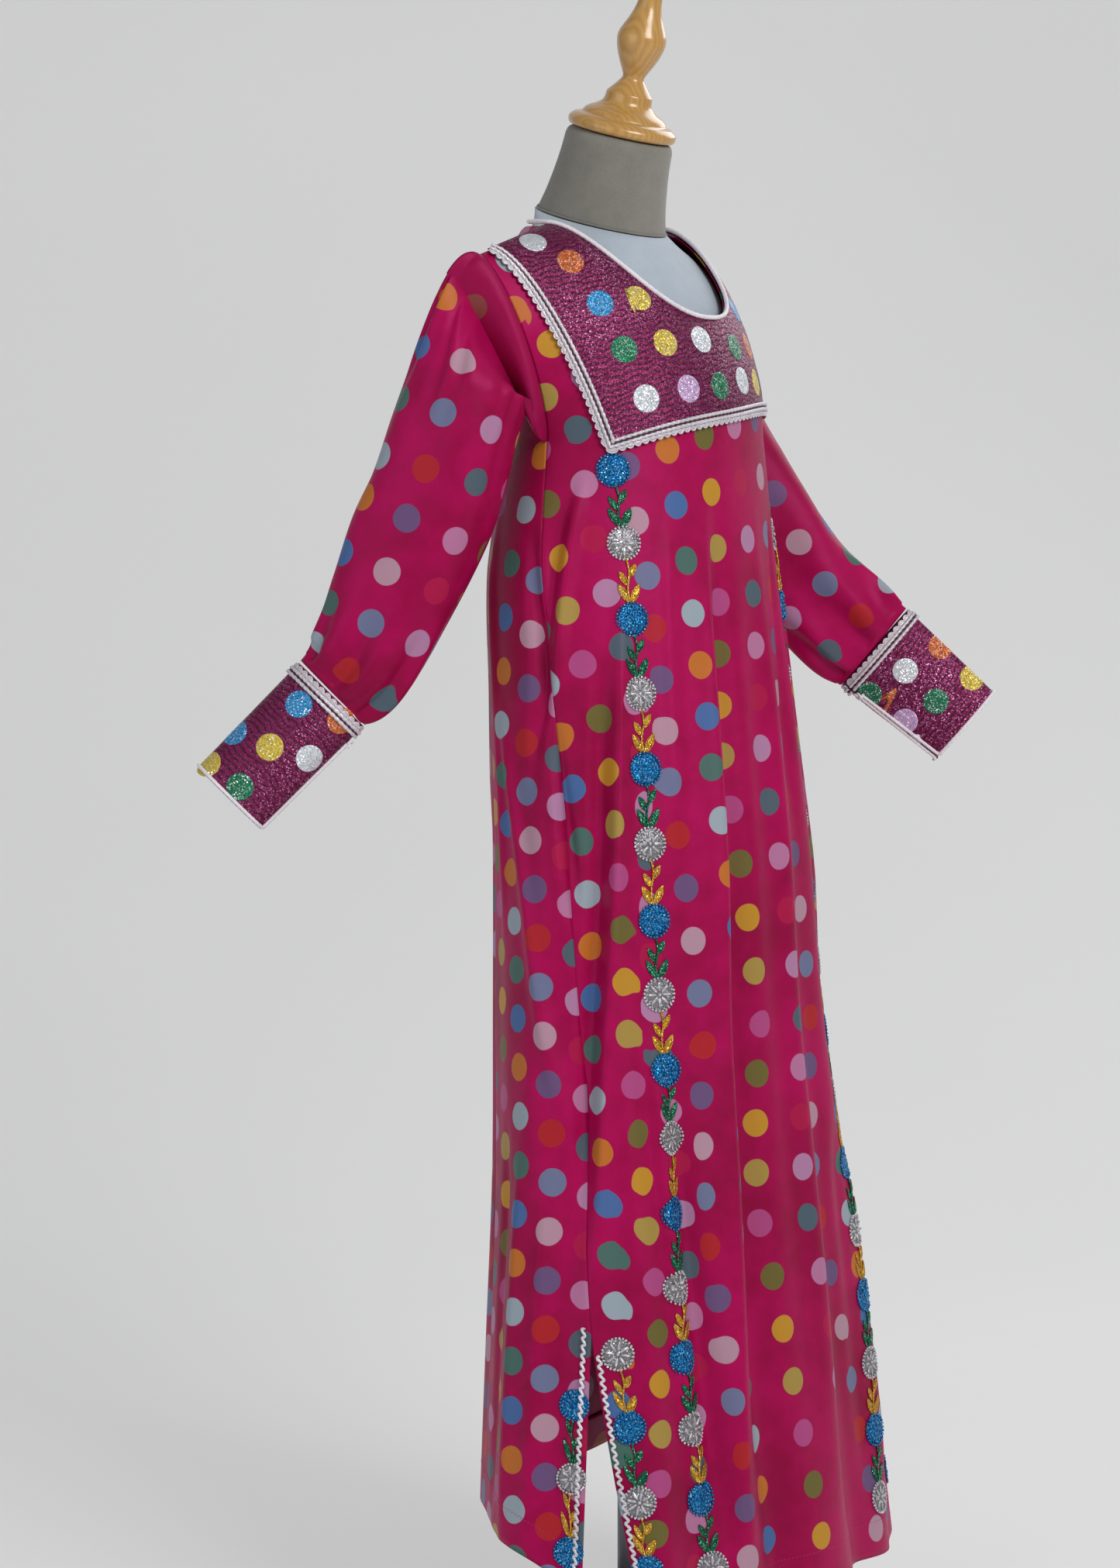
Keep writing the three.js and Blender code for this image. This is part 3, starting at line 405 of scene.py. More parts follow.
@dataclass
class SleeveShape:
    """A long sleeve hanging from the armhole into its cuff."""

    body: ThobeShape
    side: Side
    # Share of the length, centre, then half-sizes outward and forward.
    sections: Sequence[Sequence[float]] = ()
    cuff_end: tuple[float, float, float] = (0.0, 0.0, 0.0)
    cuff_outward: float = 33.0
    cuff_forward: float = 17.0
    slit_at: float = 180.0
    outward: tuple[float, float, float] = (0.0, 0.0, 0.0)
    phase: float = 0.4
    slit_top: float = 3.0
    slit_end: float = 11.0

    def __post_init__(self) -> None:
        """Adds one section a little way down the cuff, so that sleeve and cuff meet square."""
        rows = [list(row) for row in self.sections]
        last = rows[-1]
        step = [1.06, *(lerp(last[k], self.cuff_end[k - 1], 0.12) for k in (1, 2, 3)), last[4], last[5]]
        self.table = Table(rows + [step])
        self.first_at = rows[0][0]
        self.last = last

    def _centre(self, at: Array) -> Array:
        """Middle line of the sleeve."""
        return np.stack([self.table.smooth(at, k) for k in (1, 2, 3)], axis=-1)

    def frame(self, at: Array) -> tuple[Array, Array, Array]:
        """Middle, outward and forward directions at a share of the length."""
        low = np.where(at >= 1, 1.0, np.maximum(at - 0.02, self.first_at))
        ahead = unit(self._centre(at + 0.02) - self._centre(low))
        guess = np.array(self.outward)
        out = unit(guess - ahead * (ahead @ guess)[..., None])
        forward = unit(np.cross(out, ahead))
        turn = -self.side.value * np.sign(forward[..., 1:2] * -self.side.value)
        return self._centre(at), out, forward * np.where(turn == 0, 1, turn)

    def fold(self, theta: Array, at: Array) -> Array:
        """Gathers at the shoulder and above the cuff, and soft folds down the arm: cosines round the
        sleeve that fade along it."""
        turn = np.radians(theta)
        from_top = half_turned(theta)
        head = np.exp(-((at / 0.16) ** 2) - (from_top / 60) ** 2)
        foot = smoothstep(at, 0.62, 0.93) * (1 - 0.55 * smoothstep(at, 0.93, 1))
        waves = (4.2 * head * np.cos(11 * turn) + 3.4 * foot * np.cos(7 * turn + self.phase)
                 + 2.4 * np.sin(math.pi * np.clip(at, 0, 1)) * np.cos(4 * turn + self.phase + 2 * at))
        return waves + self.fine_fold(turn, at)

    def fine_fold(self, turn: Array, at: Array) -> Array:
        """Smaller slanting wrinkles: cosines whose phase drifts along the sleeve."""
        middle = np.sin(math.pi * np.clip(at, 0, 1))
        foot = smoothstep(at, 0.7, 0.97)
        head = np.exp(-((at / 0.22) ** 2))
        return (0.8 * middle * np.cos(5 * turn + 9 * at + 2 * self.phase)
                + 0.9 * foot * np.cos(13 * turn + 4 * at) * (1 + 0.5 * np.cos(3 * turn))
                + 1.7 * head * np.cos(16 * turn + self.phase) * (1 + 0.4 * np.cos(5 * turn)))

    def _section(self, theta: Array, at: Array) -> Array:
        """A point on the sleeve's flat oval section, with the folds added to its half-sizes."""
        centre, out, forward = self.frame(at)
        turn = np.radians(theta)
        extra = self.fold(theta, at) * np.where(at > 0.985, 0.3, 1.0)
        wide = (self.table.smooth(at, 4) + extra) * np.cos(turn)
        deep = (self.table.smooth(at, 5) + extra) * np.sin(turn)
        return centre + out * wide[..., None] + forward * deep[..., None]

    def _armhole(self, theta: Array) -> Array:
        """A point of the armhole's edge."""
        turn = theta % 360
        side = float(self.side.value)
        out = []
        for front, share in ((1, 1 - turn / 180), (-1, (turn - 180) / 180)):
            share = np.clip(share, 0, 1)
            edge = self.body.bodice(np.full_like(share, side), share, front)
            inward = self.body.bodice(np.full_like(share, side * 0.97), share, front)
            out.append(edge + unit(edge - inward) * 0.8)
        return np.where((turn <= 180)[..., None], out[0], out[1])

    def surface(self, theta: Array, at: Array) -> Array:
        """A point of the sleeve: below the first section an oval, above it a smooth curve from the
        armhole's edge whose end slopes meet both.

        Args:
            theta: degrees round, 0 outside, 90 in front.
            at: share of the length from the armhole.

        Returns:
            Points in millimetres.
        """
        theta, at = np.broadcast_arrays(np.asarray(theta, float), np.asarray(at, float))
        first = np.full_like(at, self.first_at)
        low = self._section(theta, np.maximum(at, self.first_at))
        u = (np.clip(at / self.first_at, 0, 1))[..., None]
        finish = self._section(theta, first)
        slope_end = (self._section(theta, first + 0.03) - finish) * (self.first_at / 0.03)
        top = (1 + np.cos(np.radians(theta))) / 2
        slope_start = stack(self.side.value * lerp(75, 74, top), lerp(0, 8, top), lerp(-10, 28, top))
        gather = self.fold(theta, at)[..., None] * np.sin(math.pi * np.minimum(u * 1.6, 1) / 2)
        high = cubic(self._armhole(theta), slope_start, finish, slope_end, u)
        high = high + np.array([self.side.value * 0.5, 0.2, 0.8]) * gather * (1 - u)
        return np.where((at >= self.first_at)[..., None], low, high)

    def cuff(self, share: Array, along: Array, lift: float | Array = 0.0) -> Array:
        """A point of the cuff: a flat oval tube, open along its slit, that narrows to the wrist.

        Args:
            share: 0 to 1 round from one slit edge to the other.
            along: 0 at the sleeve and 1 at the wrist.
            lift: millimetres outward from the cuff.

        Returns:
            Points in millimetres.
        """
        share, along = np.broadcast_arrays(np.asarray(share, float), np.asarray(along, float))
        start, _, _ = self.frame(np.array(1.0))
        end = np.array(self.cuff_end)
        ahead = unit(end - start)
        guess = np.array(self.outward)
        out = unit(guess - ahead * (ahead @ guess))
        forward = np.cross(out, ahead)
        forward = forward * (-self.side.value * np.sign(forward[1] * -self.side.value) or 1)
        gap = lerp(self.slit_top, self.slit_end, along)
        turn = np.radians(self.slit_at + lerp(gap / 2, 360 - gap / 2, share))
        length = np.linalg.norm(end - start)
        wide = (lerp(self.last[4], self.cuff_outward, along) + lift) * np.cos(turn)
        deep = (lerp(self.last[5], self.cuff_forward, along) + lift) * np.sin(turn)
        walk = lerp(1.7, length, along)
        return start + ahead * walk[..., None] + out * wide[..., None] + forward * deep[..., None]


class SurfaceMap:
    """A surface and its normals on a fine grid, read with straight lines between the grid's points."""

    def __init__(self, surface: Surface, u: tuple[float, float, int], v: tuple[float, float, int],
                 side: float) -> None:
        """Works out the grid.

        Args:
            surface: the surface as a function of two parameters.
            u: lowest and highest first parameter, and how many columns.
            v: the same for the second parameter and the rows.
            side: 1 or -1, to turn the normals outward.
        """
        self.u, self.v = u, v
        self.points = surface(np.linspace(*u)[None, :], np.linspace(*v)[:, None])
        across, along = np.gradient(self.points, axis=1), np.gradient(self.points, axis=0)
        self.normals = unit(np.cross(across, along)) * side

    def __call__(self, u: Array, v: Array, lift: Array | float) -> Array:
        """Points at a height over the surface."""
        u, v, lift = np.broadcast_arrays(u, v, lift)
        x = np.clip((u - self.u[0]) / (self.u[1] - self.u[0]), 0, 1) * (self.u[2] - 1.001)
        y = np.clip((v - self.v[0]) / (self.v[1] - self.v[0]), 0, 1) * (self.v[2] - 1.001)
        i, j = y.astype(int), x.astype(int)
        fy, fx = (y - i)[..., None], (x - j)[..., None]
        total = 0.0
        for grid, height in ((self.points, np.ones_like(x)), (self.normals, lift)):
            low = lerp(grid[i, j], grid[i, j + 1], fx)
            high = lerp(grid[i + 1, j], grid[i + 1, j + 1], fx)
            total = total + lerp(low, high, fy) * height[..., None]
        return total


def rows_of_faces(rows: int, cols: int, loop: bool) -> Array:
    """Four-cornered faces of a grid, joined round where it loops."""
    i = np.arange(rows - 1)[:, None]
    j = np.arange(cols if loop else cols - 1)[None, :]
    a, b = i * cols + j, i * cols + (j + 1) % cols
    return np.stack([a, b, b + cols, a + cols], axis=-1).reshape(-1, 4)


def fan(middle: int, first: int, count: int) -> Array:
    """Triangles from a middle point to each step round a ring whose points start at the number given."""
    j = np.arange(count)
    return np.stack([np.full(count, middle), first + j, first + (j + 1) % count], axis=-1)


def halves(quads: Array) -> Array:
    """Two triangles for each four-cornered face."""
    return np.concatenate([quads[:, [0, 1, 2]], quads[:, [0, 2, 3]]])


def mesh_object(name: str, points: Array, faces: Array, uv: Array | None = None,
                uv_faces: Array | None = None) -> bpy.types.Object:
    """Makes a smooth-shaded mesh object from arrays.

    Args:
        name: the piece's name.
        points: vertices in millimetres.
        faces: corner indices, the same number for every face.
        uv: list of pairs, or None.
        uv_faces: which pair each corner takes; the corner's own vertex number if left out.

    Returns:
        The object, linked to the scene.
    """
    mesh = bpy.data.meshes.new(name)
    mesh.vertices.add(len(points))
    mesh.vertices.foreach_set("co", (points.reshape(-1) * MM).astype(np.float32))
    corners = faces.shape[1]
    mesh.loops.add(faces.size)
    mesh.loops.foreach_set("vertex_index", faces.reshape(-1).astype(np.int32))
    mesh.polygons.add(len(faces))
    mesh.polygons.foreach_set("loop_start", np.arange(0, faces.size, corners, dtype=np.int32))
    mesh.polygons.foreach_set("loop_total", np.full(len(faces), corners, dtype=np.int32))
    mesh.update(calc_edges=True)
    if uv is not None:
        picked = uv[(faces if uv_faces is None else uv_faces).reshape(-1)]
        layer = mesh.uv_layers.new(name="cloth")
        layer.data.foreach_set("uv", picked.reshape(-1).astype(np.float32))
    mesh.shade_smooth()
    made = bpy.data.objects.new(name, mesh)
    bpy.context.scene.collection.objects.link(made)
    return made


def grid_object(name: str, grid: Array, uv: Array | None = None, loop: bool = False,
                flip: bool = False) -> bpy.types.Object:
    """Makes an open sheet from a grid of points.

    Args:
        name: the piece's name.
        grid: rows by columns by three, in millimetres.
        uv: rows by columns by two; a loop's has one more column, for the way back to its start.
        loop: joins the last column to the first.
        flip: turns the faces round.

    Returns:
        The object.
    """
    rows, cols = grid.shape[:2]
    faces = rows_of_faces(rows, cols, loop)
    uv_faces = rows_of_faces(rows, cols + 1, False) if loop else faces
    if flip:
        faces, uv_faces = faces[:, ::-1], uv_faces[:, ::-1]
    return mesh_object(name, grid.reshape(-1, 3), faces, None if uv is None else uv.reshape(-1, 2), uv_faces)


def keep_dots_round(piece: bpy.types.Object, grid: Array, cells: Array) -> None:
    """Stores how the print is stretched at each point, as an attribute: with A and B the ways over the
    cloth of one cell across and one cell down, it is A.A, A.B and B.B in squared cells, less one for
    the first and the last.

    Args:
        piece: the object made from the grid.
        grid: rows by columns by three, in millimetres.
        cells: rows by columns by two, the print's cells.
    """
    down, across = np.gradient(grid, axis=0), np.gradient(grid, axis=1)
    cell_down, cell_across = np.gradient(cells, axis=0), np.gradient(cells, axis=1)
    area = cell_across[..., 0] * cell_down[..., 1] - cell_across[..., 1] * cell_down[..., 0]
    area = np.where(np.abs(area) < 1e-6, 1e-6, area)[..., None]
    first = (across * cell_down[..., 1:] - down * cell_across[..., 1:]) / area / PITCH
    second = (down * cell_across[..., :1] - across * cell_down[..., :1]) / area / PITCH
    stretch = np.stack([np.clip(np.sum(first * first, -1), 0.5, 4) - 1,
                        np.clip(np.sum(first * second, -1), -0.8, 0.8),
                        np.clip(np.sum(second * second, -1), 0.5, 4) - 1], axis=-1)
    layer = piece.data.attributes.new("print_stretch", "FLOAT_VECTOR", "POINT")
    layer.data.foreach_set("vector", stretch.reshape(-1).astype(np.float32))


def merge_meshes(parts: Sequence[Mesh]) -> Mesh:
    """Joins several (points, faces) pairs into one pair."""
    offsets = np.cumsum([0] + [len(p) for p, _ in parts[:-1]])
    points = np.concatenate([p for p, _ in parts])
    faces = np.concatenate([f + o for (_, f), o in zip(parts, offsets)])
    return points, faces


def tube(path: Array, normal: Array, radius: Array | float, sides: int = 8, closed: bool = False,
         twist: float = 0.0, ply: float = 0.0) -> Mesh:
    """A round cord along a path: rings of points square to the path; a twisted cord's radius swells
    with the cosine of twice the angle less the twist walked so far.

    Args:
        path: points of the middle line.
        normal: a direction off the path at each point, square to it after correction.
        radius: millimetres, one or one for each point.
        sides: points round.
        closed: joins the end to the start.
        twist: millimetres for each turn of a twisted cord, or 0.
        ply: how deep the twist shows, as a share of the radius.

    Returns:
        Points and faces.
    """
    if closed:
        ahead = unit(np.roll(path, -1, 0) - np.roll(path, 1, 0))
    else:
        ahead = unit(np.gradient(path, axis=0))
    up = unit(normal - ahead * np.sum(normal * ahead, axis=-1, keepdims=True))
    aside = np.cross(ahead, up)
    turn = full_turn(sides)[None, :]
    walked = lengths_along(path)[:, None]
    size = np.broadcast_to(np.asarray(radius, float).reshape(-1, 1) if np.ndim(radius) else radius,
                           (len(path), 1))
    if twist:
        size = size * (1 + ply * np.cos(2 * turn - 2 * math.pi * walked / twist))
    size = size * np.ones_like(turn)
    ring = (path[:, None] + up[:, None] * (size * np.cos(turn))[..., None]
            + aside[:, None] * (size * np.sin(turn))[..., None])
    rows = len(path)
    faces = rows_of_faces(rows, sides, True)[:, ::-1]
    if closed:
        j = np.arange(sides)
        a, b = (rows - 1) * sides + j, (rows - 1) * sides + (j + 1) % sides
        faces = np.concatenate([faces, np.stack([a, j, (j + 1) % sides, b], axis=-1)])
    points = ring.reshape(-1, 3)
    if not closed:
        low = fan(len(points), 0, sides)[:, [0, 1, 2, 2]]
        high = fan(len(points) + 1, (rows - 1) * sides, sides)[:, [0, 2, 1, 1]]
        points = np.concatenate([points, path[:1], path[-1:]])
        faces = np.concatenate([faces, low, high])
    return points, faces


class NodeTree:
    """Short calls for building shader nodes inside a material or a node group."""

    def __init__(self, tree: bpy.types.NodeTree) -> None:
        """Works on the given tree."""
        self.tree = tree

    def add(self, kind: str, inputs: dict[Any, Any] | None = None, **settings: Any) -> bpy.types.Node:
        """Adds a node, sets its settings, and fills its inputs with values or links.

        Args:
            kind: the node's type.
            inputs: value or output socket for each input name or number.
            **settings: properties of the node.

        Returns:
            The node.
        """
        node = self.tree.nodes.new(kind)
        for key, value in settings.items():
            setattr(node, key, value)
        for key, value in (inputs or {}).items():
            if isinstance(value, Socket):
                self.tree.links.new(value, node.inputs[key])
            else:
                node.inputs[key].default_value = value
        return node

    def link(self, value: Socket, node: bpy.types.Node, key: str) -> None:
        """Joins an output to a node's input."""
        self.tree.links.new(value, node.inputs[key])

    def object_place(self) -> Socket:
        """Where a point lies in its object's own frame."""
        return self.add("ShaderNodeTexCoord").outputs["Object"]

    def maths(self, operation: str, a: Any, b: Any = 0.0, c: Any = 0.0) -> Socket:
        """One sum of two or three numbers."""
        inputs = {0: a, 1: b, 2: c} if operation == "MULTIPLY_ADD" else {0: a, 1: b}
        return self.add("ShaderNodeMath", inputs, operation=operation).outputs[0]

    def between(self, value: Any, low: float, high: float, to_low: float = 0.0,
                to_high: float = 1.0) -> Socket:
        """A value brought from one range to another along an S-curve."""
        node = self.add("ShaderNodeMapRange", {0: value, 1: low, 2: high, 3: to_low, 4: to_high},
                        interpolation_type="SMOOTHSTEP")
        return node.outputs[0]

    def mix(self, share: Any, a: Any, b: Any) -> Socket:
        """A mix of two colours."""
        return self.add("ShaderNodeMix", {0: share, 6: a, 7: b}, data_type="RGBA").outputs[2]

    def noise(self, vector: Any, scale: float, detail: float = 2.0, rough: float = 0.5) -> Socket:
        """A cloud of values from 0 to 1."""
        node = self.add("ShaderNodeTexNoise", {"Vector": vector, "Scale": scale, "Detail": detail,
                                               "Roughness": rough})
        return node.outputs["Fac"]

    def group(self, tree: bpy.types.NodeTree, inputs: dict[str, Any]) -> bpy.types.Node:
        """Uses a node group."""
        return self.add("ShaderNodeGroup", inputs, node_tree=tree)

    def bump(self, height: Any, strength: float, distance: float, normal: Any = None) -> Socket:
        """A normal tilted by a height."""
        inputs = {"Height": height, "Strength": strength, "Distance": distance}
        if normal is not None:
            inputs["Normal"] = normal
        return self.add("ShaderNodeBump", inputs).outputs[0]


def linear(hex_colour: str) -> tuple[float, float, float, float]:
    """A colour for a shader from its screen value as six hex digits."""
    parts = [int(hex_colour[k:k + 2], 16) / 255 for k in (0, 2, 4)]
    return (*(c / 12.92 if c <= 0.04045 else ((c + 0.055) / 1.055) ** 2.4 for c in parts), 1.0)


def new_group(name: str, inputs: Sequence[tuple[str, str, Any]],
              outputs: Sequence[tuple[str, str]]) -> tuple[bpy.types.NodeTree, NodeTree, Any, Any]:
    """Makes an empty node group with named sockets.

    Args:
        name: the group's name.
        inputs: name, socket type and default of each input.
        outputs: name and socket type of each output.

    Returns:
        The group, a builder for it, and its input and output nodes.
    """
    tree = bpy.data.node_groups.new(name, "ShaderNodeTree")
    for label, kind, default in inputs:
        socket = tree.interface.new_socket(label, in_out="INPUT", socket_type=kind)
        if default is not None:
            socket.default_value = default
    for label, kind in outputs:
        tree.interface.new_socket(label, in_out="OUTPUT", socket_type=kind)
    build = NodeTree(tree)
    return tree, build, build.add("NodeGroupInput"), build.add("NodeGroupOutput")


def new_material(name: str) -> tuple[bpy.types.Material, NodeTree, bpy.types.Node]:
    """A new material, a builder for its nodes, and its shader."""
    material = bpy.data.materials.new(name)
    material.use_nodes = True
    return material, NodeTree(material.node_tree), material.node_tree.nodes["Principled BSDF"]


@dataclass(frozen=True)
class PrintColours:
    """The sixteen dot colours, four columns of four, in the order in which they follow each other down."""

    azure: tuple[str, ...] = ("306a9c", "336c60", "90a6ae", "b86e20")
    golden: tuple[str, ...] = ("ba8c22", "a08c40", "a84a7e", "60642a")
    crimson: tuple[str, ...] = ("a41640", "a87ea0", "3c6068", "ae7498")
    blush: tuple[str, ...] = ("ac8c9a", "607492", "a6241e", "5c5076")

    def in_order(self) -> list[str]:
        """All colours, column after column, each column's rows in turn."""
        return [*self.azure, *self.golden, *self.crimson, *self.blush]


class SharedEffects:
    """Node groups that more than one material uses."""

    def __init__(self, colours: PrintColours) -> None:
        """Builds the groups, with the dot colours of the print."""
        self.dots = self._dots(colours)
        self.weave = self._weave()
        self.patchy = self._patchy()
        self.sparkle = self._sparkle()

    def _dots(self, colours: PrintColours) -> bpy.types.NodeTree:
        """Round dots on a square grid of cells: each cell's column and row, taken in fours, pick one of
        sixteen colours; the dot is where the distance to the cell's middle, measured with the cloth's
        stretch there, is under the radius."""
        tree, n, inp, out = new_group(
            "Polka dots", [("Cells", "NodeSocketVector", None), ("Radius", "NodeSocketFloat", 0.256),
                           ("Stretch", "NodeSocketVector", None)],
            [("Colour", "NodeSocketColor"), ("Mask", "NodeSocketFloat")])
        wobble = n.noise(inp.outputs["Cells"], 3.0, 1.0)
        cells = n.add("ShaderNodeSeparateXYZ", {0: inp.outputs["Cells"]})
        middle = [n.maths("ROUND", cells.outputs[k]) for k in (0, 1)]
        away = [n.maths("SUBTRACT", cells.outputs[k], middle[k]) for k in (0, 1)]
        stretch = n.add("ShaderNodeSeparateXYZ", {0: inp.outputs["Stretch"]})
        square = n.maths("MULTIPLY", n.maths("MULTIPLY", away[0], away[0]),
                         n.maths("ADD", stretch.outputs[0], 1.0))
        square = n.maths("MULTIPLY_ADD", n.maths("MULTIPLY", away[1], away[1]),
                         n.maths("ADD", stretch.outputs[2], 1.0), square)
        square = n.maths("MULTIPLY_ADD", n.maths("MULTIPLY", away[0], away[1]),
                         n.maths("MULTIPLY", stretch.outputs[1], 2.0), square)
        distance = n.maths("SQRT", n.maths("MAXIMUM", square, 0.0))
        distance = n.maths("MULTIPLY_ADD", n.maths("SUBTRACT", wobble, 0.5), 0.02, distance)
        ratio = n.maths("DIVIDE", distance, inp.outputs["Radius"])
        mask = n.between(ratio, 0.965, 1.025, 1.0, 0.0)
        column = n.maths("FLOORED_MODULO", middle[0], 4.0)
        row = n.maths("FLOORED_MODULO", middle[1], 4.0)
        pick = n.maths("DIVIDE", n.maths("ADD", n.maths("MULTIPLY_ADD", column, 4.0, row), 0.5), 16.0)
        ramp = n.add("ShaderNodeValToRGB", {0: pick})
        ramp.color_ramp.interpolation = "CONSTANT"
        order = colours.in_order()
        for k in range(16):
            stop = ramp.color_ramp.elements[k] if k < 2 else ramp.color_ramp.elements.new(k / 16)
            stop.position = k / 16
            stop.color = linear(order[k])
        n.link(ramp.outputs[0], out, "Colour")
        n.link(mask, out, "Mask")
        return tree

    def _weave(self) -> bpy.types.NodeTree:
        """Fine threads both ways: a sine across one way and a sine across the other, added."""
        tree, n, inp, out = new_group("Threads", [("Cells", "NodeSocketVector", None)],
                                      [("Height", "NodeSocketFloat")])
        parts = n.add("ShaderNodeSeparateXYZ", {0: inp.outputs["Cells"]})
        warp = n.maths("SINE", n.maths("MULTIPLY", parts.outputs[0], 620.0))
        weft = n.maths("SINE", n.maths("MULTIPLY", parts.outputs[1], 540.0))
        total = n.maths("ADD", n.maths("MULTIPLY", warp, 0.5), n.maths("MULTIPLY", weft, 0.8))
        n.link(total, out, "Height")
        return tree

    def _patchy(self) -> bpy.types.NodeTree:
        """Uneven tone: two clouds of different size, mixed."""
        tree, n, inp, out = new_group("Uneven tone", [("Scale", "NodeSocketFloat", 1.0)],
                                      [("Value", "NodeSocketFloat"), ("Fine", "NodeSocketFloat")])
        at = n.object_place()
        at = n.add("ShaderNodeVectorMath", {0: at, 3: inp.outputs["Scale"]}, operation="SCALE").outputs[0]
        large = n.noise(at, 7.0, 2.0)
        small = n.noise(at, 60.0, 3.0)
        total = n.maths("MULTIPLY_ADD", small, 0.3, n.maths("MULTIPLY", large, 0.7))
        n.link(total, out, "Value")
        n.link(small, out, "Fine")
        return tree

    def _sparkle(self) -> bpy.types.NodeTree:
        """Glitter: each cell of a fine Voronoi pattern has its own brightness and its own tilt; the brightest
        cells give the mask for painted glints.
        """
        tree, n, inp, out = new_group(
            "Glitter", [("Scale", "NodeSocketFloat", 900.0), ("Tilt", "NodeSocketFloat", 0.5)],
            [("Value", "NodeSocketFloat"), ("Bright", "NodeSocketFloat"), ("Normal", "NodeSocketVector")])
        at = n.object_place()
        cells = n.add("ShaderNodeTexVoronoi", {"Vector": at, "Scale": inp.outputs["Scale"]})
        parts = n.add("ShaderNodeSeparateColor", {0: cells.outputs["Color"]})
        # Mask of painted glints: the brightest cells, which the materials mix towards a pale colour.
        bright = n.between(parts.outputs[0], 0.86, 0.93)
        tilt = n.add("ShaderNodeVectorMath", {0: cells.outputs["Color"], 1: (0.5, 0.5, 0.5)},
                     operation="SUBTRACT").outputs[0]
        tilt = n.add("ShaderNodeVectorMath", {0: tilt, 3: inp.outputs["Tilt"]}, operation="SCALE").outputs[0]
        normal = n.add("ShaderNodeNewGeometry").outputs["Normal"]
        turned = n.add("ShaderNodeVectorMath", {0: normal, 1: tilt}, operation="ADD").outputs[0]
        turned = n.add("ShaderNodeVectorMath", {0: turned}, operation="NORMALIZE").outputs[0]
        n.link(parts.outputs[1], out, "Value")
        n.link(bright, out, "Bright")
        n.link(turned, out, "Normal")
        return tree


@dataclass(frozen=True)
class SatinFinish:
    """Printed satin: a silky cloth with a soft sheen whose threads tighten the highlight one way."""

    name: str
    base: str = "a8034e"
    shade: str = "840232"
    roughness: float = 0.45
    printed: bool = True
    back_wash: float = 0.0
    sheen: float = 0.1

    def build(self, effects: SharedEffects) -> bpy.types.Material:
        """Makes the material: the base tone varies a little, the dots lie on it, and threads and fine
        creases tilt the surface."""
        material, n, shader = new_material(self.name)
        cells = n.add("ShaderNodeUVMap", uv_map="cloth").outputs[0]
        patch = n.group(effects.patchy, {"Scale": 1.0})
        tone = n.between(patch.outputs["Value"], 0.3, 0.7)
        colour = n.mix(tone, linear(self.shade), linear(self.base))
        if self.printed:
            stretch = n.add("ShaderNodeAttribute")
            stretch.attribute_name = "print_stretch"
            dots = n.group(effects.dots, {"Cells": cells, "Stretch": stretch.outputs["Vector"]})
            share = n.maths("MULTIPLY", dots.outputs["Mask"], 0.93)
            colour = n.mix(share, colour, dots.outputs["Colour"])
        if self.back_wash:
            colour = n.mix(self.back_wash, colour, linear(self.base))
        threads = n.group(effects.weave, {"Cells": cells})
        creases = n.noise(n.object_place(), 45.0, 3.0, 0.55)
        normal = n.bump(creases, 0.35, 0.0016)
        normal = n.bump(threads.outputs["Height"], 0.12, 0.0002, normal)
        n.link(colour, shader, "Base Color")
        n.link(normal, shader, "Normal")
        rough = n.maths("MULTIPLY_ADD", patch.outputs["Fine"], 0.12, self.roughness - 0.06)
        n.link(rough, shader, "Roughness")
        shader.inputs["Specular IOR Level"].default_value = 0.34
        shader.inputs["Specular Tint"].default_value = linear("ff94d8")
        shader.inputs["Sheen Weight"].default_value = self.sheen
        shader.inputs["Sheen Roughness"].default_value = 0.35
        shader.inputs["Sheen Tint"].default_value = linear("e85fa8")
        shader.inputs["Anisotropic"].default_value = 0.35
        return material


@dataclass(frozen=True)
class LameFinish:
    """Metallic lamé: wavy woven lines and fine glitter in magenta, with a row-like shimmer and pale pink
    painted glints gathered in patches.
    """

    name: str = "yoke_lame"
    deep: str = "34041c"
    bright: str = "821252"

    def build(self, effects: SharedEffects) -> bpy.types.Material:
        """Makes the material: lines of a warped wave catch the light, glitter cells sparkle, and the
        brightest cells, in patches, are painted pale pink as glints.
        """
        material, n, shader = new_material(self.name)
        cells = n.add("ShaderNodeUVMap", uv_map="cloth").outputs[0]
        parts = n.add("ShaderNodeSeparateXYZ", {0: cells})
        drift = n.noise(cells, 1.6, 2.0)
        ripple = n.maths("SINE", n.maths("MULTIPLY_ADD", parts.outputs[0], 13.0,
                                         n.maths("MULTIPLY", drift, 14.0)))
        lines = n.maths("SINE", n.maths("ADD", n.maths("MULTIPLY", parts.outputs[1], 58.0),
                                        n.maths("MULTIPLY", ripple, 1.5)))
        ridge = n.between(lines, -0.95, 0.1)
        patch = n.group(effects.patchy, {"Scale": 2.0})
        glint = n.group(effects.sparkle, {"Scale": 1300.0, "Tilt": 0.6})
        tone = n.maths("MULTIPLY_ADD", ridge, 0.72, n.maths("MULTIPLY", glint.outputs["Value"], 0.28))
        colour = n.mix(tone, linear(self.deep), linear(self.bright))
        colour = n.mix(n.maths("MULTIPLY", patch.outputs["Value"], 0.25), colour, linear("5e1040"))
        # Painted glints: the brightest glitter cells, gathered in patches, are mixed towards pale pink.
        painted_glints = n.maths("MULTIPLY", glint.outputs["Bright"],
                            n.between(patch.outputs["Value"], 0.4, 0.65, 0.1, 0.9))
        colour = n.mix(painted_glints, colour, linear("f0a0d4"))
        normal = n.bump(ridge, 0.5, 0.0005, glint.outputs["Normal"])
        n.link(colour, shader, "Base Color")
        n.link(normal, shader, "Normal")
        shader.inputs["Metallic"].default_value = 0.55
        shader.inputs["Roughness"].default_value = 0.38
        return material


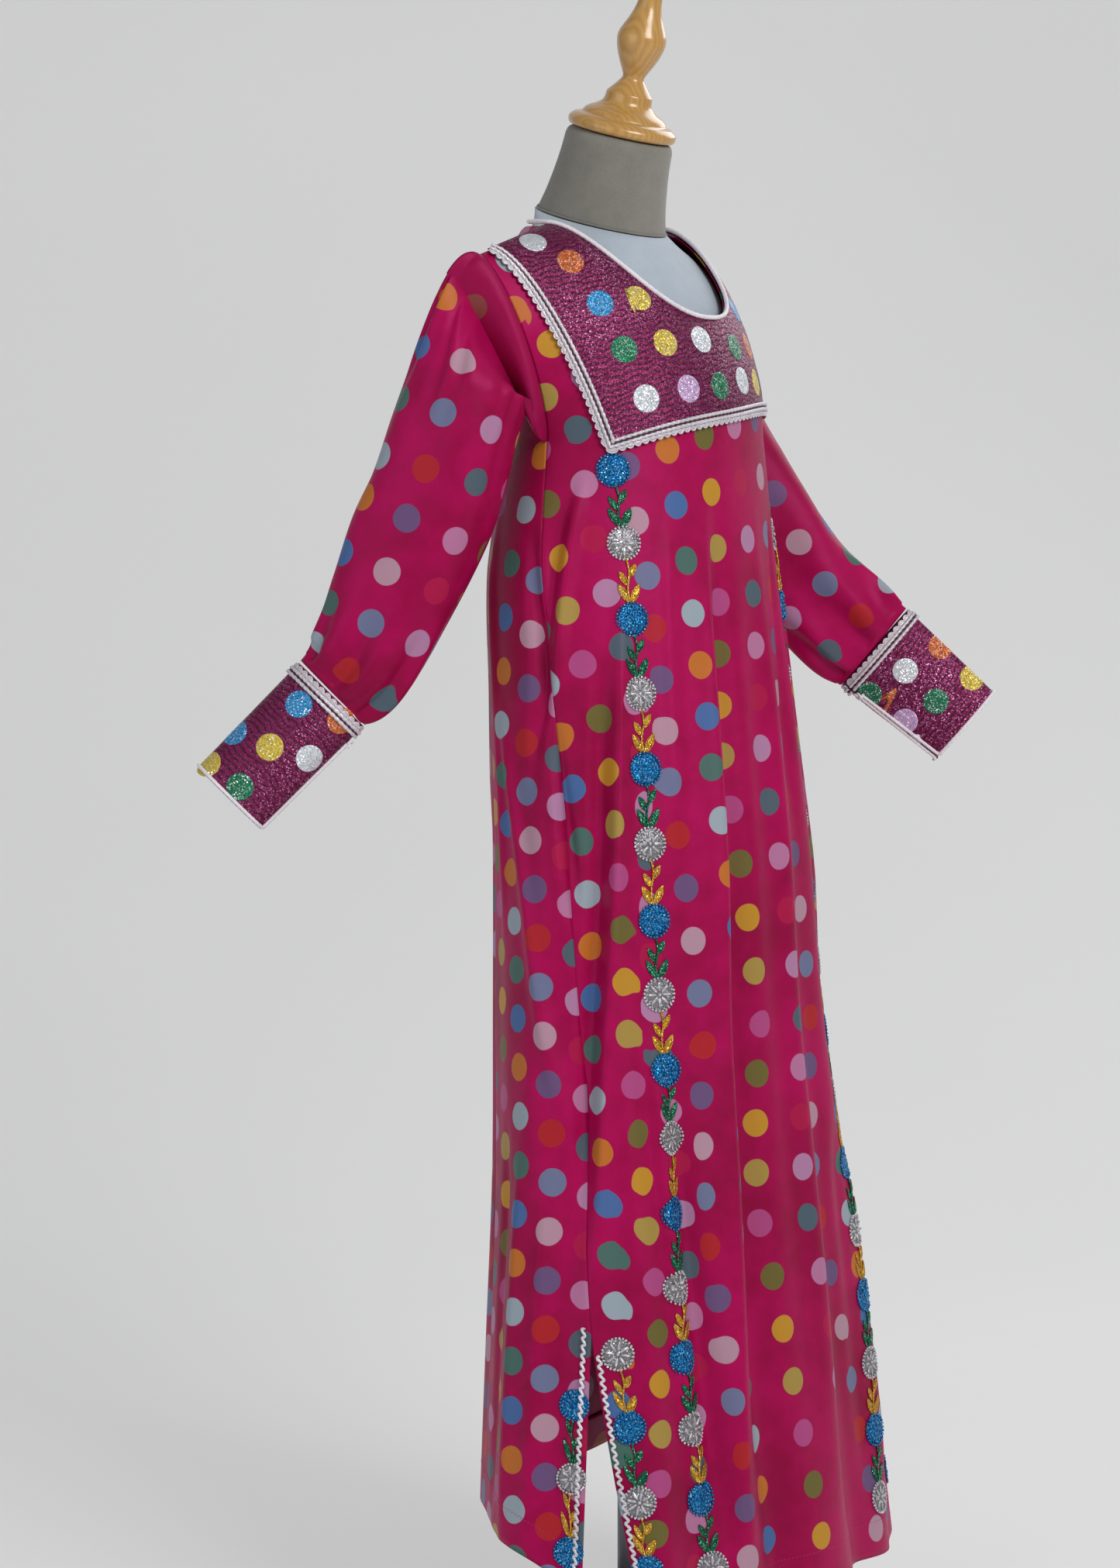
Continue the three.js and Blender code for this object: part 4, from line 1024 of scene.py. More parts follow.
@dataclass(frozen=True)
class GlitterFinish:
    """Loose glitter or close-set sequins in one colour."""

    name: str
    colour: str
    dark: str
    scale: float = 1100.0
    tilt: float = 0.9
    metallic: float = 0.7
    # colour of the painted glints
    light: str = "ffffff"

    def build(self, effects: SharedEffects) -> bpy.types.Material:
        """Makes the material: every small cell has its own tone and tilt, and a few carry a painted glint in
        the light colour.
        """
        material, n, shader = new_material(self.name)
        glint = n.group(effects.sparkle, {"Scale": self.scale, "Tilt": self.tilt})
        colour = n.mix(glint.outputs["Value"], linear(self.dark), linear(self.colour))
        # Painted glints: the brightest cells are mixed towards the light colour.
        colour = n.mix(n.maths("MULTIPLY", glint.outputs["Bright"], 0.6), colour, linear(self.light))
        n.link(colour, shader, "Base Color")
        n.link(glint.outputs["Normal"], shader, "Normal")
        shader.inputs["Metallic"].default_value = self.metallic
        shader.inputs["Roughness"].default_value = 0.3
        return material


@dataclass(frozen=True)
class ThreadFinish:
    """Twisted silvery thread, jersey or plain cord: a tone with a fine grain."""

    name: str
    colour: str
    dark: str
    roughness: float = 0.5
    metallic: float = 0.0
    grain: float = 900.0
    grain_height: float = 0.0003
    sheen: float = 0.0

    def build(self, effects: SharedEffects) -> bpy.types.Material:
        """Makes the material: clouds of two sizes shift the tone and a fine grain roughens it."""
        material, n, shader = new_material(self.name)
        patch = n.group(effects.patchy, {"Scale": 1.5})
        grain = n.noise(n.object_place(), self.grain, 2.0)
        tone = n.between(n.maths("MULTIPLY_ADD", grain, 0.4, n.maths("MULTIPLY", patch.outputs["Value"],
                                                                     0.6)), 0.25, 0.7)
        n.link(n.mix(tone, linear(self.dark), linear(self.colour)), shader, "Base Color")
        n.link(n.bump(grain, 0.5, self.grain_height), shader, "Normal")
        shader.inputs["Roughness"].default_value = self.roughness
        shader.inputs["Metallic"].default_value = self.metallic
        shader.inputs["Sheen Weight"].default_value = self.sheen
        return material


@dataclass(frozen=True)
class WoodFinish:
    """Honey-coloured turned wood under lacquer, with grain along the turning's axis."""

    name: str = "cap_wood"
    light: str = "c2954f"
    dark: str = "a97c3e"

    def build(self, effects: SharedEffects) -> bpy.types.Material:
        """Makes the material: a stretched cloud bends the rings of a wave into grain lines."""
        material, n, shader = new_material(self.name)
        at = n.object_place()
        drawn = n.add("ShaderNodeMapping", {"Vector": at, "Scale": (1.0, 1.0, 0.18)}).outputs[0]
        wave = n.add("ShaderNodeTexWave", {"Vector": drawn, "Scale": 75.0, "Distortion": 5.0, "Detail": 3.0,
                                           "Detail Scale": 1.4}, wave_type="BANDS").outputs["Fac"]
        fine = n.noise(drawn, 420.0, 3.0)
        tone = n.maths("MULTIPLY_ADD", wave, 0.55, n.maths("MULTIPLY", fine, 0.45))
        n.link(n.mix(tone, linear(self.dark), linear(self.light)), shader, "Base Color")
        patch = n.group(effects.patchy, {"Scale": 3.0})
        rough = n.maths("MULTIPLY_ADD", patch.outputs["Value"], 0.12, 0.24)
        n.link(rough, shader, "Roughness")
        shader.inputs["Coat Weight"].default_value = 0.6
        shader.inputs["Coat Roughness"].default_value = 0.12
        return material


@dataclass(frozen=True)
class SteelFinish:
    """Satin grey steel with a faint cloudy tone and uneven roughness."""

    name: str = "stand_steel"
    colour: str = "6b6b70"

    def build(self, effects: SharedEffects) -> bpy.types.Material:
        """Makes the material: uneven roughness and a faint cloudy tone."""
        material, n, shader = new_material(self.name)
        patch = n.group(effects.patchy, {"Scale": 4.0})
        share = n.maths("MULTIPLY", patch.outputs["Value"], 0.4)
        colour = n.mix(share, linear(self.colour), linear("47474b"))
        n.link(colour, shader, "Base Color")
        n.link(n.maths("MULTIPLY_ADD", patch.outputs["Fine"], 0.2, 0.28), shader, "Roughness")
        shader.inputs["Metallic"].default_value = 0.9
        return material


class Workshop:
    """The materials of the thobe and the way each finished piece joins the object."""

    def __init__(self) -> None:
        """Builds the shared effects and every finish."""
        effects = SharedEffects(PrintColours())
        finishes = (
            SatinFinish("satin_print"),
            SatinFinish("satin_inside", base="a83a6c", shade="861c4c", printed=False, sheen=0.05),
            SatinFinish("satin_print_inside", base="960a44", shade="740632", back_wash=0.55, sheen=0.05),
            LameFinish(),
            ThreadFinish("silver_cord", "e6e1e6", "a9a2ab", roughness=0.38, metallic=0.25, sheen=0.2),
            ThreadFinish("white_piping", "efe9ee", "c4bcc4", roughness=0.45, sheen=0.3),
            ThreadFinish("dark_cord", "5a1a3a", "2c0a1b", roughness=0.6),
            ThreadFinish("form_jersey", "b2bdc8", "9ea9b4", roughness=0.92, grain=1400.0, sheen=0.2),
            ThreadFinish("neck_jersey", "86837a", "6c6a62", roughness=0.9, grain=1400.0, sheen=0.2),
            ThreadFinish("pink_thread", "c2287a", "9e1457", roughness=0.6),
            # The light colour given to a glitter finish is the colour of its painted glints.
            GlitterFinish("blue_sequins", "1c90cc", "08407e", tilt=0.6, light="a8e4ff"),
            GlitterFinish("silver_sequins", "8a888c", "646266", tilt=0.4, metallic=0.4),
            GlitterFinish("silver_beads", "c6c4c8", "a09ca2", scale=500.0, tilt=0.25, metallic=0.4),
            GlitterFinish("gold_sequins", "e3b23a", "8f5f16", light="fff0b0"),
            GlitterFinish("green_sequins", "1e7a55", "06382c", light="b8ffd8"),
            GlitterFinish("orange_glitter", "e07a3a", "9a3f1c", scale=1300.0, metallic=0.4),
            GlitterFinish("yellow_glitter", "ead25a", "a98c26", scale=1300.0, metallic=0.4),
            GlitterFinish("lilac_glitter", "e0bfe6", "a583b4", scale=1300.0, metallic=0.4),
            GlitterFinish("silver_glitter", "eef2f6", "a9b0ba", scale=1300.0, metallic=0.4),
            GlitterFinish("blue_glitter", "3aa4dc", "12609c", scale=1300.0, metallic=0.4),
            GlitterFinish("green_glitter", "1f8a5e", "0a4a38", scale=1300.0, metallic=0.4),
            WoodFinish(),
            SteelFinish(),
        )
        self.materials = {finish.name: finish.build(effects) for finish in finishes}

    def dress(self, piece: bpy.types.Object, slot: str, *names: str) -> bpy.types.Object:
        """Gives a piece its materials and fixes it to the root body.

        Args:
            piece: the new object.
            slot: not used.
            *names: materials, the outer one first.

        Returns:
            The same object.
        """
        for name in names:
            piece.data.materials.append(self.materials[name])
        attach(piece, "root")
        return piece

    def piece(self, name: str, mesh: Mesh, slot: str, *materials: str) -> bpy.types.Object:
        """Makes a piece from points and faces and dresses it."""
        return self.dress(mesh_object(name, *mesh), slot, *materials)

    def thicken(self, piece: bpy.types.Object, millimetres: float, lining: bool) -> None:
        """Turns an open sheet into a thin shell that grows inward from the surface given."""
        solid = piece.modifiers.new("thickness", "SOLIDIFY")
        solid.thickness = millimetres * MM
        solid.offset = -1.0
        solid.use_even_offset = False
        if lining:
            solid.material_offset = 1


def bunched(count: int, reach: float, power: float) -> Array:
    """Places from -reach to reach that stand closer together near both ends."""
    t = np.linspace(-1, 1, count)
    return reach * np.sign(t) * (1 - (1 - np.abs(t)) ** power)


@dataclass(frozen=True)
class Slip:
    """Cloth tucked out of sight behind a fold's edge: the print jumps there."""

    heights: tuple[float, ...]
    angles: tuple[float, ...]
    # Cells lost at the edge's top and at its foot, across and down.
    across: tuple[float, float]
    down: tuple[float, float]
    width: float = 2.0

    def at(self, angle: Array, z: Array) -> tuple[Array, Array]:
        """The jump across and down at a point, in cells: a smooth step over the fold's edge."""
        edge = np.interp(z, self.heights[::-1], self.angles[::-1])
        top, foot = self.heights[0], self.heights[-1]
        step = 0.5 * (1 + np.tanh((angle - edge) / self.width)) * np.clip((top - z) / 150, 0, 1)
        share = np.clip((top - z) / (top - foot), 0, 1)
        return step * lerp(*self.across, share), step * lerp(*self.down, share)


@dataclass(frozen=True)
class Drift:
    """How far the print has slipped over the cloth, in cells, and how that changes across and down."""

    start: float = 0.0
    across: float = 0.0
    down: float = 0.0
    across_curve: float = 0.0
    down_curve: float = 0.0
    twist: float = 0.0

    def at(self, u: Array, v: Array) -> Array:
        """The slip at a place: x counts four cells across, y ten cells down from the tenth row."""
        x, y = u / 4, (v - 10) / 10
        return (self.start + self.across * x + self.down * y + self.across_curve * x * x
                + self.down_curve * y * y + self.twist * x * y)


FRONT_SLIPS = (
    Slip((866, 772, 706, 608, 490, 342), (-52, -53, -57, -60.5, -63, -67.5), (0.65, 0.15), (0.35, 0.3)),
    Slip((526, 380, 286, 216, 140), (-47.5, -48, -48, -39, -34.5), (1.0, 0.05), (0.4, 0.1)))


@dataclass
class BodyPanel:
    """Front or back of the thobe: printed satin from the hem to the neck and shoulders."""

    shop: Workshop
    shape: ThobeShape
    panel: Panel
    flat: tuple[float, float]
    cut: float
    # Drift of the print over the cloth, in cells, across and down.
    drift_u: Drift = Drift()
    drift_v: Drift = Drift()
    reach: tuple[float, float, float, float] = (-4.9, 2.5, -3.0, 21.3)
    slips: Sequence[Slip] = ()

    def columns(self) -> Array:
        """Column places, closer together at the neck points."""
        neck = self.shape.neck[0] / self.shape.shoulder[0]
        side = np.linspace(neck, 1.0, 38)[1:]
        return np.concatenate([-side[::-1], bunched(107, neck, 1.7), side])

    def rows(self) -> Array:
        """Row places: even up to the armpit, and closer together towards the top edge."""
        t = np.linspace(0, 1, 70)[1:]
        return np.concatenate([np.linspace(0, 1, 176), 1 + t * (1.6 - 0.6 * t)])

    def print_cells(self, grid: Array, rows: Array) -> Array:
        """Where each point lies on the print: distances along the cloth from the middle column and from
        the armpit row, in cells, with a slow drift added."""
        across, down = lengths_along(grid, 1), lengths_along(grid, 0)
        middle = grid.shape[1] // 2
        across = (across - across[:, middle:middle + 1]) / PITCH
        armpit = int(np.argmin(np.abs(rows - 1)))
        down = (down[armpit:armpit + 1] - down) / PITCH
        low_u, high_u, low_v, high_v = self.reach
        held_u, held_v = np.clip(across, low_u, high_u), np.clip(down, low_v, high_v)
        turn = self.panel.value
        u = across + self.drift_u.at(held_u, held_v)
        v = turn * down + self.drift_v.at(held_u, held_v)
        angle = self.shape.angle_of(grid)
        for slip in self.slips:
            slip_u, slip_v = slip.at(angle, grid[..., 2])
            u, v = u + slip_u, v + slip_v
        return np.stack([u, v], axis=-1)

    def build(self) -> None:
        """Makes the panel, the turned-up hem inside it and the stitches that hold the hem."""
        name = self.panel.name.lower()
        s, v = self.columns(), self.rows()
        grid = self.shape.body(s[None, :], v[:, None], self.panel.value)
        cells = self.print_cells(grid, v)
        piece = grid_object(f"{name}_cloth", grid, cells, flip=self.panel is Panel.BACK)
        keep_dots_round(piece, grid, cells)
        self.shop.dress(piece, "satin", "satin_print", "satin_print_inside")
        self.shop.thicken(piece, CLOTH_WALL, True)
        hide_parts(f"{name}_panel")
        hem = self._hem(name)
        stitches = self._stitches(name)

    def _hem(self, name: str) -> bpy.types.Object:
        """The hem's turned-up band inside the panel."""
        s = np.linspace(-0.994, 0.994, 150)
        share = np.linspace(0, 1, 9)
        v = share[:, None] * self._hem_depth(s)[None, :] + 0.0004
        normal = self.shape.body_normal(s[None, :], v, self.panel.value)
        grid = self.shape.body(s[None, :], v, self.panel.value) - normal * 1.5
        uv = np.stack(np.broadcast_arrays(s[None, :] * 7, v * 20), axis=-1)
        band = grid_object(f"{name}_hem_turning", grid, uv, flip=self.panel is Panel.BACK)
        self.shop.dress(band, "satin", "satin_print_inside")
        self.shop.thicken(band, 0.7, False)
        return band

    def _hem_depth(self, s: Array) -> Array:
        """How far up the panel the hem's depth reaches at each column."""
        return HEM_DEPTH / (self.shape.armpit_z - self.shape.column_hem(s, self.panel.value))

    def _stitches(self, name: str) -> bpy.types.Object:
        """A row of short stitches at the hem turning's edge: flat beads of thread."""
        s = np.linspace(-0.985, 0.985, 1600)
        v = self._hem_depth(s)
        path = self.shape.body(s, v, self.panel.value)
        walked = lengths_along(path)
        at = np.interp(np.arange(STITCH_STEP / 2, walked[-1], STITCH_STEP), walked, s)
        height = self._hem_depth(at)
        centre = self.shape.body(at, height, self.panel.value)
        normal = self.shape.body_normal(at, height, self.panel.value)
        ahead = unit(self.shape.body(at + 0.001, height, self.panel.value) - centre)
        thread = copies(bead(5, 4), centre + normal * 0.05, ahead, np.cross(normal, ahead), normal,
                        (1.1, 0.3, 0.22))
        return self.shop.piece(f"{name}_hem_stitches", thread, "satin", "pink_thread")


def bead(sides: int, rings: int) -> Mesh:
    """A small ball of radius one: rings of points between two poles."""
    polar = np.linspace(0, math.pi, rings + 1)[1:-1, None]
    turn = full_turn(sides)[None, :]
    body = stack(np.sin(polar) * np.cos(turn), np.sin(polar) * np.sin(turn), np.cos(polar)).reshape(-1, 3)
    points = np.concatenate([body, [[0, 0, 1], [0, 0, -1]]])
    quads = rows_of_faces(rings - 1, sides, True)[:, ::-1]
    top = fan(len(body), 0, sides)
    bottom = fan(len(body) + 1, (rings - 2) * sides, sides)[:, [0, 2, 1]]
    return points, np.concatenate([halves(quads), top, bottom])


def copies(template: Mesh, centre: Array, x: Array, y: Array, z: Array,
           size: tuple[float, float, float] | Array) -> Mesh:
    """Many copies of a small shape, each turned to its own three directions.

    Args:
        template: points and faces of one copy.
        centre: middle of each copy.
        x: first direction of each copy.
        y: second direction.
        z: third direction.
        size: millimetres along the three directions, one set or one for each copy.

    Returns:
        Points and faces of all copies.
    """
    points, faces = template
    size = np.broadcast_to(np.asarray(size, float), (len(centre), 3))
    placed = centre[:, None]
    for k, direction in enumerate((x, y, z)):
        direction = np.broadcast_to(direction, centre.shape)
        placed = placed + direction[:, None] * (points[None, :, k:k + 1] * size[:, None, k:k + 1])
    step = np.arange(len(centre))[:, None, None] * len(points)
    return placed.reshape(-1, 3), (faces[None] + step).reshape(-1, faces.shape[1])


@dataclass
class Braid:
    """Trim of two silvery twisted cords with a dark one between, and scalloped lace outside."""

    shop: Workshop
    name: str
    path: Array
    normal: Array
    out: float
    node: str

    def build(self) -> None:
        """Makes the cords and the lace along the path."""
        count = max(int(lengths_along(self.path)[-1] / 0.62), 40)
        path = resample(np.concatenate([self.path, self.normal], axis=-1), count)
        path, normal = path[:, :3], unit(path[:, 3:])
        ahead = unit(np.gradient(path, axis=0))
        aside = unit(np.cross(ahead, normal)) * self.out
        half = 4
        kernel = np.ones(2 * half + 1) / (2 * half + 1)
        padded = np.concatenate([np.repeat(aside[:1], half, 0), aside, np.repeat(aside[-1:], half, 0)])
        aside = unit(np.stack([np.convolve(padded[:, k], kernel, "valid") for k in range(3)], axis=-1))
        light = [tube(path + aside * offset + normal * 1.2, normal, 1.3, 10, twist=4.6, ply=0.2)
                 for offset in (-3.0, 1.0)]
        whole = merge_meshes([*light, *self._lace(path, normal, aside)])
        piece = self.shop.piece(self.name, whole, "white_trim", "silver_cord")
        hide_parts(self.node)
        dark = tube(path + aside * -1.0 + normal * 0.75, normal, 0.8, 8, twist=2.6, ply=0.15)
        self.shop.piece(f"{self.name}_dark_cord", dark, "white_trim", "dark_cord")

    def _lace(self, path: Array, normal: Array, aside: Array) -> list[Mesh]:
        """Scallops: a strip whose outer edge swings out with the sine of the way walked, rimmed by a
        thread, and a thread arch inside each."""
        walked = lengths_along(path)
        swing = np.abs(np.sin(math.pi * walked / WAVE)) ** 0.7
        reach = 3.0 + 2.9 * swing
        share = np.linspace(0, 1, 4)
        across = 2.0 + share[None, :] * (reach[:, None] - 2.0)
        top = path[:, None] + aside[:, None] * across[..., None] + normal[:, None] * 0.75
        under = top - normal[:, None] * 0.5
        ring = np.concatenate([top, under[:, ::-1]], axis=1)
        faces = rows_of_faces(len(path), ring.shape[1], True)
        if self.out > 0:
            faces = faces[:, ::-1]
        rim = path + aside * reach[:, None] + normal * 0.7
        arch = path + aside * (2.4 + 1.8 * swing)[:, None] + normal * 0.95
        return [(ring.reshape(-1, 3), faces), tube(rim, normal, 0.62, 6), tube(arch, normal, 0.45, 6)]


@dataclass
class Yoke:
    """The metallic bib with its glitter dots, braid and neck piping."""

    shop: Workshop
    shape: YokeShape
    # Across, up, and colour of each large glitter dot.
    dots: tuple[tuple[float, float, str], ...] = (
        (-0.788, 0.853, "silver"), (-0.735, 0.661, "orange"), (-0.749, 0.459, "blue"),
        (-0.753, 0.285, "green"), (-0.739, 0.115, "silver"), (-0.471, 0.650, "yellow"),
        (-0.446, 0.429, "yellow"), (-0.403, 0.194, "lilac"), (-0.149, 0.732, "silver"),
        (-0.111, 0.286, "green"), (0.144, 0.646, "green"), (0.16, 0.30, "silver"),
        (0.44, 0.62, "blue"), (0.43, 0.39, "orange"), (0.45, 0.15, "yellow"), (0.75, 0.84, "lilac"),
        (0.74, 0.64, "yellow"), (0.75, 0.45, "silver"), (0.75, 0.27, "blue"), (0.74, 0.10, "green"))

    def build(self) -> None:
        """Makes the bib, its dots, the braid round three sides and the piping round the neck."""
        p = np.linspace(-1, 1, 151)
        q = np.linspace(0, 0.997, 90)
        grid = self.shape.surface(p[None, :], q[:, None], self.shape.lift)
        across = lengths_along(grid, 1)
        middle = len(p) // 2
        across = across - across[:, middle:middle + 1]
        cells = np.stack([across, lengths_along(grid, 0)], axis=-1) / PITCH
        piece = grid_object("yoke_cloth", grid, cells)
        self.shop.dress(piece, "yoke_lame", "yoke_lame", "satin_inside")
        self.shop.thicken(piece, CLOTH_WALL, True)
        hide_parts("front_yoke")
        place = SurfaceMap(lambda x, y: self.shape.surface(x, y, self.shape.lift), (-1, 1, 241),
                           (0, 0.99, 141), 1)
        glitter_dots(self.shop, "yoke_dots", place, self.dots, 10.6)
        self._braid()
        self._piping()

    def _braid(self) -> None:
        """The braid: down the right edge, along the bottom and up the left edge."""
        q = np.linspace(0.965, 0, 80)
        p = np.linspace(-1, 1, 140)
        across = np.concatenate([np.full(80, -1.0), p[1:-1], np.full(80, 1.0)])
        up = np.concatenate([q, np.zeros(138), q[::-1]])
        path = self.shape.surface(across, up, self.shape.lift + 0.2)
        Braid(self.shop, "yoke_trim", path, self.shape.normal(across, up), 1.0, "yoke_braid").build()

    def _piping(self) -> None:
        """White piping round the neck: a cord that sits over the raw edges of bib and back."""
        body = self.shape.body
        neck = body.neck[0] / body.shoulder[0]
        lines = []
        for s, front in ((bunched(240, neck, 2.4), 1), (np.linspace(neck, -neck, 120)[1:-1], -1)):
            share = body.top_share(s) if front > 0 else np.ones_like(s)
            edge = body.bodice(s, share, front)
            normal = body.bodice_normal(s, share, front)
            inward = unit(stack(-edge[:, 0], body.neck[1] - edge[:, 1], np.zeros(len(s))))
            lines.append(edge + normal * 3.6 + inward * 0.85)
        path = np.concatenate(lines)
        path = resample(np.concatenate([path, path[:1]]), 421)[:-1]
        for _ in range(6):
            path = (np.roll(path, 1, 0) + 2 * path + np.roll(path, -1, 0)) / 4
        away = unit(path - path.mean(axis=0)) + np.array([0, 0, 0.3])
        cord = tube(path, away, 1.7, 12, closed=True, twist=5.0, ply=0.06)
        piece = self.shop.piece("neck_edge_piping", cord, "white_trim", "white_piping")
        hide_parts("neck_piping")


def glitter_dots(shop: Workshop, name: str, place: Place,
                 dots: Sequence[tuple[float, float, str]], radius: float) -> None:
    """Large glitter dots on lamé: flat round patches that follow the cloth.

    Args:
        shop: materials.
        name: start of the pieces' names.
        place: the cloth as a function of two parameters and a height.
        dots: middle and colour of each dot.
        radius: millimetres.
    """
    for colour in sorted({dot[2] for dot in dots}):
        chosen = np.array([dot[:2] for dot in dots if dot[2] == colour])
        patches = round_patches(place, chosen[:, 0], chosen[:, 1], radius, 0.16, 0.1)
        shop.piece(f"{name}_{colour}", merge_meshes(patches), "yoke_lame", f"{colour}_glitter")


def round_patches(place: Place, u0: Array, v0: Array, radius: float, lift: float,
                  dome: float) -> list[Mesh]:
    """Round patches on a surface: polar grids laid off from their middles, so that they bend with the
    cloth; the height falls off from the middle as a dome."""
    tangent = Tangent(place, u0, v0)
    share = np.array([0.25, 0.5, 0.75, 0.92, 1.0, 1.0])[:, None]
    rise = np.array([0.94, 0.75, 0.44, 0.2, 0.05, 0.0])[:, None]
    rows, sides = len(share), 36
    turn = full_turn(sides)[None, :]
    height = np.where(np.arange(rows)[:, None] == rows - 1, -0.3, lift + dome * rise) + 0 * turn
    x, y = (radius * share * wave for wave in (np.cos(turn), np.sin(turn)))
    rings = tangent.at(x.reshape(1, -1), y.reshape(1, -1), height.reshape(1, -1))
    middles = tangent.at(np.zeros(1), np.zeros(1), lift + dome)
    skin = halves(rows_of_faces(rows, sides, True))[:, [0, 2, 1]]
    faces = np.concatenate([skin, fan(rows * sides, 0, sides)])
    facing = np.sum(np.cross(tangent.first, tangent.second) * tangent.normal, axis=-1)
    return [(np.concatenate([ring, middle]), faces if side > 0 else faces[:, ::-1])
            for ring, middle, side in zip(rings, middles, facing)]


class Tangent:
    """Millimetres laid off along a surface from given middles, through the surface's slopes there."""

    def __init__(self, place: Place, u0: Array, v0: Array) -> None:
        """Works out the slopes at each middle, given by its two parameters on the surface."""
        h = 0.002
        zero = np.zeros_like(u0)
        self.place, self.u0, self.v0 = place, u0, v0
        self.middle = place(u0, v0, zero)
        slope_u = (place(u0 + h, v0, zero) - place(u0 - h, v0, zero)) / (2 * h)
        slope_v = (place(u0, v0 + h, zero) - place(u0, v0 - h, zero)) / (2 * h)
        self.first = unit(slope_u)
        self.stretch = np.linalg.norm(slope_u, axis=-1)
        self.along = np.sum(slope_v * self.first, axis=-1)
        across = slope_v - self.first * self.along[:, None]
        self.square = np.linalg.norm(across, axis=-1)
        self.second = unit(across)
        self.normal = unit(place(u0, v0, zero + 1) - place(u0, v0, zero))

    def at(self, x: Array, y: Array, lift: Array | float) -> Array:
        """Points x and y millimetres from each middle: one row for each middle."""
        x, y = (np.broadcast_to(np.atleast_2d(k), (len(self.u0), np.atleast_2d(k).shape[1])) for k in (x, y))
        left_x, left_y, du, dv = x, y, 0.0, 0.0
        for _ in range(4):
            step = left_y / self.square[:, None]
            du = du + 0.8 * (left_x - self.along[:, None] * step) / self.stretch[:, None]
            dv = dv + 0.8 * step
            away = self.place(self.u0[:, None] + du, self.v0[:, None] + dv, 0.0) - self.middle[:, None]
            left_x = x - np.sum(away * self.first[:, None], axis=-1)
            left_y = y - np.sum(away * self.second[:, None], axis=-1)
        return self.place(self.u0[:, None] + du, self.v0[:, None] + dv, lift + 0 * du)

    def axes(self, count: int) -> list[Array]:
        """The two ways along the surface and the way off it, each given count times for each middle."""
        return [np.repeat(axis, count, axis=0) for axis in (self.first, self.second, self.normal)]


def turns_inward(grid: Array) -> bool:
    """Whether a tube's faces, taken row by row, would point to its middle."""
    across, along = np.gradient(grid, axis=1), np.gradient(grid, axis=0)
    away = grid - grid.mean(axis=1, keepdims=True)
    return float(np.sum(np.cross(across, along) * away)) < 0


@dataclass(frozen=True)
class LeafPlan:
    """One leaf of a sprig: where its foot stands and which way it points."""

    up: float
    aside: float
    angle: float
    length: float
    width: float


